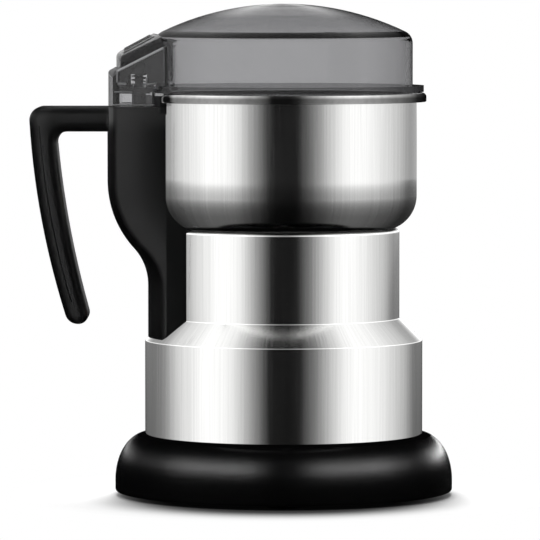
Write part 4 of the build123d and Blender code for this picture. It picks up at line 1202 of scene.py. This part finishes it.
@dataclass
class HousingTrim(Assembly):
    """Light grey beads on the edges of the lid's side housing and light grey rails inside it; their
    light grey is a painted glint.
    """

    back_radius: float = 63.1
    crest: float = 152.9  # level of the slope's middle at the back
    slope: float = 28.15
    crown: float = 1.3
    crown_half: float = 17.0
    arc_half: float = 14.4  # degrees on each side of -X
    bead: tuple[tuple[float, bool, float], ...] = (
        (2.3, True, -0.5),
        (2.3, True, 0.12),
        (1.0, True, 0.04),
        (0.45, False, -0.1),
        (0.1, False, -0.55),
        (-0.02, False, -1.2),
        (0.3, False, -1.2),
        (2.3, True, -0.5),
    )  # distance in from the back, whether the slope's rise counts, and height above the crest
    side_back: Point = (-59.4, 17.35, 152.95)
    side_front: Point = (-42.9, 20.15, 161.25)
    edge_radius: float = 0.42
    # Light grey rods: painted glints along the housing's inner rails and lower edges.
    rails: tuple[tuple[float, float, float, float, float], ...] = (
        (-59.3, 153.0, -59.3, 148.9, 0.3),
        (-59.2, 148.5, -56.0, 148.4, 0.5),
        (-48.8, 150.6, -48.8, 148.6, 0.3),
        (-48.8, 148.3, -45.4, 148.6, 0.4),
        (-60.3, 145.6, -53.9, 145.6, 0.25),
        (-45.7, 144.4, -45.7, 141.3, 0.25),
        (-60.6, 141.0, -46.0, 141.0, 0.25),
    )  # X and Z of both ends, and radius
    rail_back: Pair = (-61.0, 16.2)  # X and depth of the wall's middle
    rail_front: Pair = (-42.0, 19.8)

    def depth(self, x: float) -> float:
        """Returns how far from the middle plane the side wall's middle is, in mm."""
        (x0, y0), (x1, y1) = self.rail_back, self.rail_front
        return y0 + (y1 - y0) * (x - x0) / (x1 - x0)

    def trim(self) -> Mesh:
        """Makes the light top of the back wall and the beads along the slope's sides, drawn light
        grey as a painted glint.

        Returns:
            Their common mesh.
        """
        slope = math.radians(self.slope)
        points = [
            (self.back_radius - inset, self.crest + inset * math.tan(slope) * sloped + height)
            for inset, sloped, height in self.bead
        ]
        pen = Profile(*points[0])
        pen.line(*points[1:])
        mesh = pen.swept(180 - self.arc_half, 2 * self.arc_half, 32)
        for vert in mesh.verts:
            drop = crown_drop(vert.co.y / MM, self.crown_half, self.crown)
            vert.co.z -= drop * MM / math.cos(slope)
        bmesh.ops.recalc_face_normals(mesh, faces=mesh.faces[:])
        for side in (-1, 1):
            back, front = ((x, side * y, z) for x, y, z in (self.side_back, self.side_front))
            add_rod(mesh, back, front, self.edge_radius)
        return mesh

    def build(self) -> None:
        """Makes the edge beads and the rails inside both side walls, both light grey as painted
        glints.
        """
        # Light grey beads: a painted glint on the housing's rounded edges and the back wall's top.
        self.place(finished(self.trim(), "housing_edges"), LID_EDGE_PAINTED_GLINT, "lid", "lid_clear")
        mesh = bmesh.new()
        for x0, z0, x1, z1, radius in self.rails:
            for side in (-1, 1):
                start = (x0, side * self.depth(x0), z0)
                add_rod(mesh, start, (x1, side * self.depth(x1), z1), radius)
        self.place(finished(mesh, "housing_rails"), LID_RAIL_PAINTED_GLINT, "lid", "lid_clear")


@dataclass
class ButtonSpring(Assembly):
    """Coil spring under the button, which in the grinder shortens as the button goes down; this
    copy stays as it is at rest.
    """

    node: str = "button_spring"
    weld: float = 0.002  # between points that are one

    def build(self) -> None:
        """Copies the node's coil and hides the node."""
        mesh = bmesh.new()
        mesh.from_mesh(bpy.data.objects[self.node].data)
        bmesh.ops.remove_doubles(mesh, verts=mesh.verts[:], dist=self.weld * MM)
        low, high = (pick(v.co.z for v in mesh.verts) for pick in (min, max))
        piece = finished(mesh, "coil_spring")
        piece.data.materials.clear()
        piece.data.materials.append(SPRING_STEEL.material())
        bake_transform(piece)
        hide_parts(self.node)
        LOG.info("piece %s bends between lid and button", piece.name)


@dataclass
class PackedNodes(Assembly):
    """CAD nodes whose shapes are right and that only need their finishes."""

    nodes: dict[str, bpy.types.Object]

    def build(self) -> None:
        """Gives each node its finish; the steel mirrors the studio and not the handle."""
        for finish, names in NODE_FINISHES.items():
            for name in names:
                data = self.nodes[name].data
                for index in range(len(data.materials)):
                    data.materials[index] = finish.material()
                LOG.info("node %s has %s", name, finish.name)
        self.nodes["handle"].visible_glossy = False


# ---- Studio -------------------------------------------------------------------------------------
def seen_by(tree: Tree, *kinds: str) -> Socket:
    """Says whether a ray is of one of some kinds.

    Args:
        tree: node tree that gets the nodes.
        kinds: kinds of ray, such as Camera.

    Returns:
        1 for such a ray and 0 for any other.
    """
    rays = add_node(tree, "LightPath")
    found, *others = (rays.outputs[f"Is {kind} Ray"] for kind in kinds)
    for other in others:
        either = add_node(tree, "Math", (found, other), operation="MAXIMUM")
        found = either.outputs[0]
    return found


def half_turn(tree: Tree) -> tuple[Node, Node]:
    """Splits a direction from the middle of the studio into two shares.

    The metal's own normal lies halfway between the way to the front and the direction, so what an
    upright wall shows at one place depends on the first share alone.

    Args:
        tree: node tree that gets the nodes.

    Returns:
        The normal's turn from the front (0.5, from 0 at its left to 1 at its right) and its
        height (0 straight down, 0.5 level, 1 straight up).
    """
    spot = add_node(tree, "TexCoord").outputs["Object"]
    unit = add_node(tree, "VectorMath", (spot,), operation="NORMALIZE")
    added = add_node(tree, "VectorMath", (unit, (0.0, -1.0, 0.0)), operation="ADD")
    half = add_node(tree, "VectorMath", (added,), operation="NORMALIZE")
    axes = add_node(tree, "SeparateXYZ", (half,))
    front = add_node(tree, "Math", (axes.outputs["Y"], -1.0), operation="MULTIPLY")
    angle = add_node(tree, "Math", (axes.outputs["X"], front), operation="ARCTAN2")
    climb = add_node(tree, "Math", (axes.outputs["Z"],), operation="ARCSINE")
    span = (-math.pi / 2, math.pi / 2)
    turn, height = (add_node(tree, "MapRange", (way, *span)) for way in (angle, climb))
    return turn, height


@dataclass(frozen=True)
class Cloth:
    """One layer of the light tent: its tones by direction and the finishes that mirror it.

    Directions are given by where a surface faces that shows them to the front: degrees of the
    reflection round the object (0 in front, positive towards +X) and degrees that the surface
    faces up.
    """

    name: str
    radius: float  # metres
    strength: float
    around: Stops
    upward: Stops
    receivers: tuple[Finish, ...]
    skirt: Stops = ()  # further tones round the object, for what faces down
    skirt_top: float = -1.8  # where they begin, in degrees that the surface faces up
    skirt_fade: float = 0.25  # degrees in which they come in
    last: bool = False  # nothing shows through the outermost layer


METAL_CLOTH = Cloth(
    name="metal_cloth",
    radius=2.8,
    strength=1.55,
    around=(
        (-158, "#959595"), (-138, "#898989"), (-118, "#9A9A9A"), (-107, "#C4C4C4"),
        (-97, "#DADADA"), (-88, "#E5E5E5"), (-70, "#FCFCFC"), (-58, "#FFFFFF"), (-50, "#FAFAFA"),
        (-40, "#DEDEDE"), (-26, "#929292"), (-15, "#404040"), (-12, "#141414"), (12, "#141414"),
        (15, "#303030"), (27, "#7C7C7C"), (41, "#CCCCCC"), (50, "#EEEEEE"), (62, "#FFFFFF"),
        (72, "#FDFDFD"), (84, "#EFEFEF"), (97, "#DDDDDD"), (112, "#C9C9C9"), (126, "#ADADAD"),
        (140, "#909090"), (158, "#9B9B9B"),
    ),
    upward=(
        (-70, "#505050"), (-34, "#5A5A5A"), (-25, "#707070"), (-18, "#8E8E8E"), (-12, "#B4B4B4"),
        (-7, "#DCDCDC"), (-3.5, "#FFFFFF"), (52, "#FFFFFF"), (60, "#505050"), (85, "#383838"),
    ),
    receivers=(
        BODY_STEEL, CUP_STEEL, SCREW_STEEL, SPRING_STEEL, PRESSED_STEEL, SHAFT_STEEL, BLADE_STEEL,
        BUSH_BRASS, TERMINAL_BRASS, BRONZE, LAMINATIONS, WINDINGS, COMMUTATOR,
    ),
    skirt=(
        (-157, "#DADADA"), (-134, "#D0D0D0"), (-119, "#D8D8D8"), (-108, "#DCDCDC"),
        (-97, "#F0F0F0"), (-76, "#FFFFFF"), (92, "#FFFFFF"), (107, "#F8F8F8"), (119, "#ECECEC"),
        (135, "#C0C0C0"), (157, "#D1D1D1"),
    ),
)

EDGE_CLOTH = Cloth(
    name="edge_cloth",
    radius=2.7,
    strength=1.0,
    around=((-90, "#FFFFFF"), (-20, "#FFFFFF"), (0, "#B0B0B0"), (20, "#FFFFFF"), (90, "#FFFFFF")),
    upward=((9, "#000000"), (14, "#FFFFFF"), (32, "#FFFFFF"), (38, "#000000")),
    receivers=(BODY_STEEL, CUP_STEEL),
)

RIM_CLOTH = Cloth(
    name="rim_cloth",
    radius=2.75,
    strength=1.6,
    around=(
        (-150, "#E0E0E0"), (-119, "#E0E0E0"), (-114, "#202020"), (-104, "#202020"),
        (-99, "#C2C2C2"), (-88, "#D1D1D1"), (-78, "#E8E8E8"), (-69, "#FAFAFA"), (-53, "#FFFFFF"),
        (-45, "#F0F0F0"), (-37.5, "#DDDDDD"), (-30, "#BFBFBF"), (-23, "#ABABAB"), (-16, "#818181"),
        (-9.5, "#242424"), (5, "#222222"), (12, "#414141"), (19, "#8E8E8E"), (27, "#ABABAB"),
        (34, "#CCCCCC"), (41.5, "#E5E5E5"), (49, "#FFFFFF"), (65, "#FCFCFC"), (74, "#EDEDED"),
        (83, "#DDDDDD"), (93, "#C4C4C4"), (105, "#ADADAD"), (118, "#898989"), (135, "#393939"),
        (155, "#181818"),
    ),
    upward=(
        (-70, "#303030"), (-45, "#707070"), (-25, "#C0C0C0"), (-8, "#969696"), (2, "#969696"),
        (18, "#CDCDCD"), (33, "#F3F3F3"), (50, "#FFFFFF"),
    ),
    receivers=(RIM_STEEL,),
)

BASE_CLOTH = Cloth(
    name="base_cloth",
    radius=2.9,
    strength=3.4,
    around=(
        (-155, "#8C8C8C"), (-124, "#3C3C3C"), (-94, "#686868"), (-72, "#EAEAEA"), (-28, "#F4F4F4"),
        (-10, "#0C0C0C"), (10, "#0C0C0C"), (28, "#F0F0F0"), (70, "#FAFAFA"), (86, "#A0A0A0"),
        (104, "#404040"), (118, "#585858"), (138, "#FFFFFF"),
    ),
    upward=(
        (3, "#0C0C0C"), (8, "#202020"), (12.5, "#8C8C8C"), (16.5, "#FFFFFF"), (21, "#FFFFFF"),
        (26, "#B4B4B4"), (33, "#404040"), (42, "#141414"), (60, "#101010"),
    ),
    receivers=(BASE_ABS, RUBBER),
)

HANDLE_CLOTH = Cloth(
    name="handle_cloth",
    radius=3.0,
    strength=1.1,
    around=(
        (-150, "#101010"), (-115, "#202020"), (-85, "#707070"), (-62, "#C0C0C0"), (-46, "#F0F0F0"),
        (-37, "#FFFFFF"), (-30, "#D0D0D0"), (-22, "#606060"), (-12, "#181818"), (14, "#080808"),
        (40, "#141414"), (60, "#808080"), (100, "#A0A0A0"), (150, "#808080"),
    ),
    upward=(
        (-30, "#606060"), (-6, "#E0E0E0"), (8, "#FFFFFF"), (20, "#B0B0B0"), (45, "#909090"),
        (70, "#E0E0E0"), (85, "#FFFFFF"),
    ),
    receivers=(HANDLE_ABS, WELT_ABS),
)

ARM_CLOTH = Cloth(
    name="arm_cloth",
    radius=2.95,
    strength=0.42,
    around=((-150, "#FFFFFF"), (150, "#FFFFFF")),
    upward=((9, "#000000"), (16, "#FFFFFF"), (28, "#FFFFFF"), (40, "#606060"), (60, "#000000")),
    receivers=(HANDLE_ABS,),
)

BUTTON_CLOTH = Cloth(
    name="button_cloth",
    radius=3.05,
    strength=2.4,
    around=((-170, "#FFFFFF"), (90, "#FFFFFF")),
    upward=((-30, "#404040"), (0, "#909090"), (30, "#A0A0A0"), (50, "#B8B8B8"), (80, "#B8B8B8")),
    receivers=(BUTTON_ABS, LID_EDGE_PAINTED_GLINT, LID_RAIL_PAINTED_GLINT),
)

LID_CLOTH = Cloth(
    name="lid_cloth",
    radius=3.1,
    strength=0.95,
    around=(
        (-130, "#909090"), (-70, "#FFFFFF"), (-30, "#D4D4D4"), (0, "#BCBCBC"), (30, "#C0C0C0"),
        (70, "#F4F4F4"), (108, "#848484"), (134, "#202020"),
    ),
    upward=(
        (-30, "#404040"), (-6, "#F0F0F0"), (30, "#E0E0E0"), (56, "#FFFFFF"), (62, "#B0B0B0"),
        (66, "#707070"), (70, "#808080"), (73, "#D8D8D8"), (78, "#FFFFFF"),
    ),
    receivers=(LID_CLEAR,),
    last=True,
)

CLOTHS = (
    EDGE_CLOTH, RIM_CLOTH, METAL_CLOTH, BASE_CLOTH, ARM_CLOTH, HANDLE_CLOTH, BUTTON_CLOTH, LID_CLOTH
)


@dataclass
class Studio:
    """Pale floor, light tent in layers, softboxes and camera, in metres."""

    floor_size: float = 40.0
    speckle: float = 40.0  # of the floor, per metre
    painted_shadow_shift: Point = (0.0, 0.024, 0.0)  # moves the painted shadow round the object's foot towards the front
    painted_contact_shadow: Pair = (0.038, 0.074)  # distances at which the painted shadow is full and gone
    # darkest tone of the painted shadow
    painted_shadow_tone: float = 0.1
    floor_lift: float = 0.12  # own light of the floor near the object
    shadow_end: Pair = (0.064, 0.1)  # distances over which the floor goes over to white
    eye_height: float = 0.178
    distance: float = 1.786
    aside: float = -0.00495
    aim_height: float = 0.0811
    lens: float = 330.7  # mm
    sky: float = 0.25
    box_distance: float = 1.6
    box_aim: float = 0.09  # level that the softboxes face
    layers: dict[str, bpy.types.Object] = field(default_factory=dict)

    def floor(self) -> None:
        """Makes the floor: white to the camera, with the object's real shadow on it and a painted
        shadow round its foot.
        """
        mesh = bmesh.new()
        bmesh.ops.create_grid(mesh, x_segments=1, y_segments=1, size=self.floor_size / 2)
        piece = finished(mesh, "studio_floor")
        material, tree = new_material("matt_white_floor")
        spot = add_node(tree, "TexCoord").outputs["Object"]
        speckle = add_node(tree, "TexNoise", {"Vector": spot, "Scale": self.speckle, "Detail": 2.0})
        tone = add_node(tree, "ValToRGB", (speckle,))
        set_stops(tone.color_ramp, [(0.3, "#F4F4F4"), (0.7, "#F7F7F7")])
        # Painted shadow: the floor's colour and its own light darken round the object's foot,
        # reaching further towards the front.
        shifted = add_node(tree, "VectorMath", (spot, self.painted_shadow_shift), operation="ADD")
        shadows = []
        for place, span in (
            (spot, (*self.shadow_end, 0.0)), (shifted, (*self.painted_contact_shadow, self.painted_shadow_tone))
        ):
            reach = add_node(tree, "VectorMath", (place,), operation="LENGTH").outputs["Value"]
            shadow = add_node(tree, "MapRange", (reach, *span), interpolation_type="SMOOTHSTEP")
            shadows.append(shadow)
        fade, painted_contact_shadow = shadows
        painted_shadow_colour = add_node(tree, "Mix", {0: 1.0, 6: tone, 7: painted_contact_shadow}, **MULTIPLY)
        painted_shadow_on_lift = add_node(tree, "Mix", {0: 1.0, 6: painted_contact_shadow, 7: painted_contact_shadow}, **MULTIPLY)
        matt = add_node(tree, "BsdfDiffuse", {"Color": painted_shadow_colour.outputs[2]})
        lift = add_node(
            tree, "Emission", {"Color": painted_shadow_on_lift.outputs[2], "Strength": self.floor_lift}
        )
        near = add_node(tree, "AddShader", (matt, lift))
        white = add_node(tree, "Emission", {"Color": (1, 1, 1, 1), "Strength": 1.0})
        seen = add_node(tree, "MixShader", (fade, near, white))
        shown = seen_by(tree, "Camera", "Transmission")
        surface = add_node(tree, "MixShader", (shown, matt, seen))
        add_node(tree, "OutputMaterial", {"Surface": surface})
        piece.data.materials.append(material)
        piece.visible_glossy = False

    def layer(self, cloth: Cloth) -> None:
        """Hangs one layer of the light tent, which only its own receivers mirror.

        Args:
            cloth: what the layer shows and to which finishes.
        """
        mesh = bmesh.new()
        bmesh.ops.create_uvsphere(mesh, u_segments=48, v_segments=24, radius=cloth.radius)
        bmesh.ops.reverse_faces(mesh, faces=mesh.faces[:])
        piece = finished(mesh, "studio_" + cloth.name, 180.0)
        material, tree = new_material("lit_cloth_" + cloth.name)
        turn, height = half_turn(tree)
        skirt_top = 0.5 + cloth.skirt_top / 180
        skirt_full = 0.5 + (cloth.skirt_top - cloth.skirt_fade) / 180
        below = add_node(tree, "MapRange", (height, skirt_top, skirt_full))
        tone = None
        for share, way, span, stops in (
            (1.0, turn, 360, cloth.around),
            (1.0, height, 180, cloth.upward),
            (below, turn, 360, cloth.skirt),
        ):
            if stops:
                ramp = add_node(tree, "ValToRGB", (way,))
                set_stops(ramp.color_ramp, [(0.5 + angle / span, code) for angle, code in stops])
                both = {0: share, 6: tone, 7: ramp}
                tone = add_node(tree, "Mix", both, **MULTIPLY).outputs[2] if tone else ramp
        glow = add_node(tree, "Emission", {"Color": tone, "Strength": cloth.strength})
        if not cloth.last:
            open_weave = add_node(tree, "BsdfTransparent")
            glow = add_node(tree, "AddShader", (glow, open_weave))
        add_node(tree, "OutputMaterial", {"Surface": glow})
        material.cycles.emission_sampling = "NONE"
        piece.data.materials.append(material)
        for ray in ("camera", "diffuse", "transmission", "shadow", "volume_scatter"):
            setattr(piece, "visible_" + ray, False)
        self.layers[cloth.name] = piece

    def softbox(
        self, name: str, azimuth: float, elevation: float, size: Pair, power: float
    ) -> None:
        """Adds one softbox that faces the object and lights it without a glint.

        Args:
            name: its name.
            azimuth: degrees from the front, positive towards +X.
            elevation: degrees above the floor.
            size: width and height, in metres.
            power: watts.
        """
        lamp = bpy.data.lights.new(name, "AREA")
        lamp.shape = "RECTANGLE"
        lamp.size, lamp.size_y = size
        lamp.energy = power
        holder = bpy.data.objects.new(name, lamp)
        turn, rise = math.radians(azimuth), math.radians(elevation)
        aside, front = math.sin(turn) * math.cos(rise), math.cos(turn) * math.cos(rise)
        way = Vector((aside, -front, math.sin(rise)))
        holder.location = Vector((0, 0, self.box_aim)) + way * self.box_distance
        holder.rotation_euler = way.to_track_quat("Z", "Y").to_euler()
        holder.visible_glossy = False
        holder.visible_transmission = False
        bpy.context.scene.collection.objects.link(holder)

    def world(self) -> None:
        """Lights the room softly; the camera, metal and glass see plain white."""
        world = bpy.data.worlds.new("studio_world")
        world.use_nodes = True
        tree = world.node_tree
        tree.nodes.clear()
        seen = seen_by(tree, "Camera", "Glossy", "Transmission")
        strength = add_node(tree, "MapRange", (seen, 0.0, 1.0, self.sky, 1.0))
        glow = add_node(tree, "Background", {"Color": (1, 1, 1, 1), "Strength": strength})
        add_node(tree, "OutputWorld", {"Surface": glow})
        bpy.context.scene.world = world

    def camera(self) -> None:
        """Adds the camera, level with the lid's top and tilted down a little."""
        data = bpy.data.cameras.new("studio_camera")
        data.lens = self.lens
        data.sensor_width = 36.0
        data.clip_start, data.clip_end = 0.05, 60.0
        holder = bpy.data.objects.new("studio_camera", data)
        holder.location = (self.aside, -self.distance, self.eye_height)
        aim = Vector((0, self.distance, self.aim_height - self.eye_height))
        holder.rotation_euler = aim.to_track_quat("-Z", "Y").to_euler()
        bpy.context.scene.collection.objects.link(holder)
        bpy.context.scene.camera = holder

    def aim_layers(self) -> None:
        """Shows each layer of the tent to its own finishes only."""
        for cloth in CLOTHS:
            names = {finish.name for finish in cloth.receivers}
            group = bpy.data.collections.new("mirrors_" + cloth.name)
            for piece in bpy.context.scene.objects:
                if piece.type == "MESH" and names & {m.name for m in piece.data.materials if m}:
                    group.objects.link(piece)
            self.layers[cloth.name].light_linking.receiver_collection = group

    def build(self) -> None:
        """Sets the whole studio up."""
        bpy.context.scene.view_settings.view_transform = "Standard"
        self.camera()
        self.floor()
        for cloth in CLOTHS:
            self.layer(cloth)
        self.world()
        self.softbox("front_box", -20, 40, (1.6, 1.0), 14.0)
        self.softbox("back_box", 180, 60, (1.0, 1.0), 24.0)
        LOG.info("studio ready")


def main() -> None:
    """Builds the studio and every sub-assembly in order, then shows each tent layer to its own
    finishes.
    """
    logging.basicConfig(level=logging.INFO, format="%(name)s: %(message)s")
    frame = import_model()
    studio = Studio()
    studio.build()
    for assembly in (
        PackedNodes(frame["nodes"]),
        SteelBody(),
        GrindingBowl(),
        CupSeat(),
        RimRing(),
        Grip(),
        ButtonTop(),
        HousingTrim(),
        ButtonSpring(),
    ):
        assembly.build()
    studio.aim_layers()


if __name__ == "__main__":
    main()
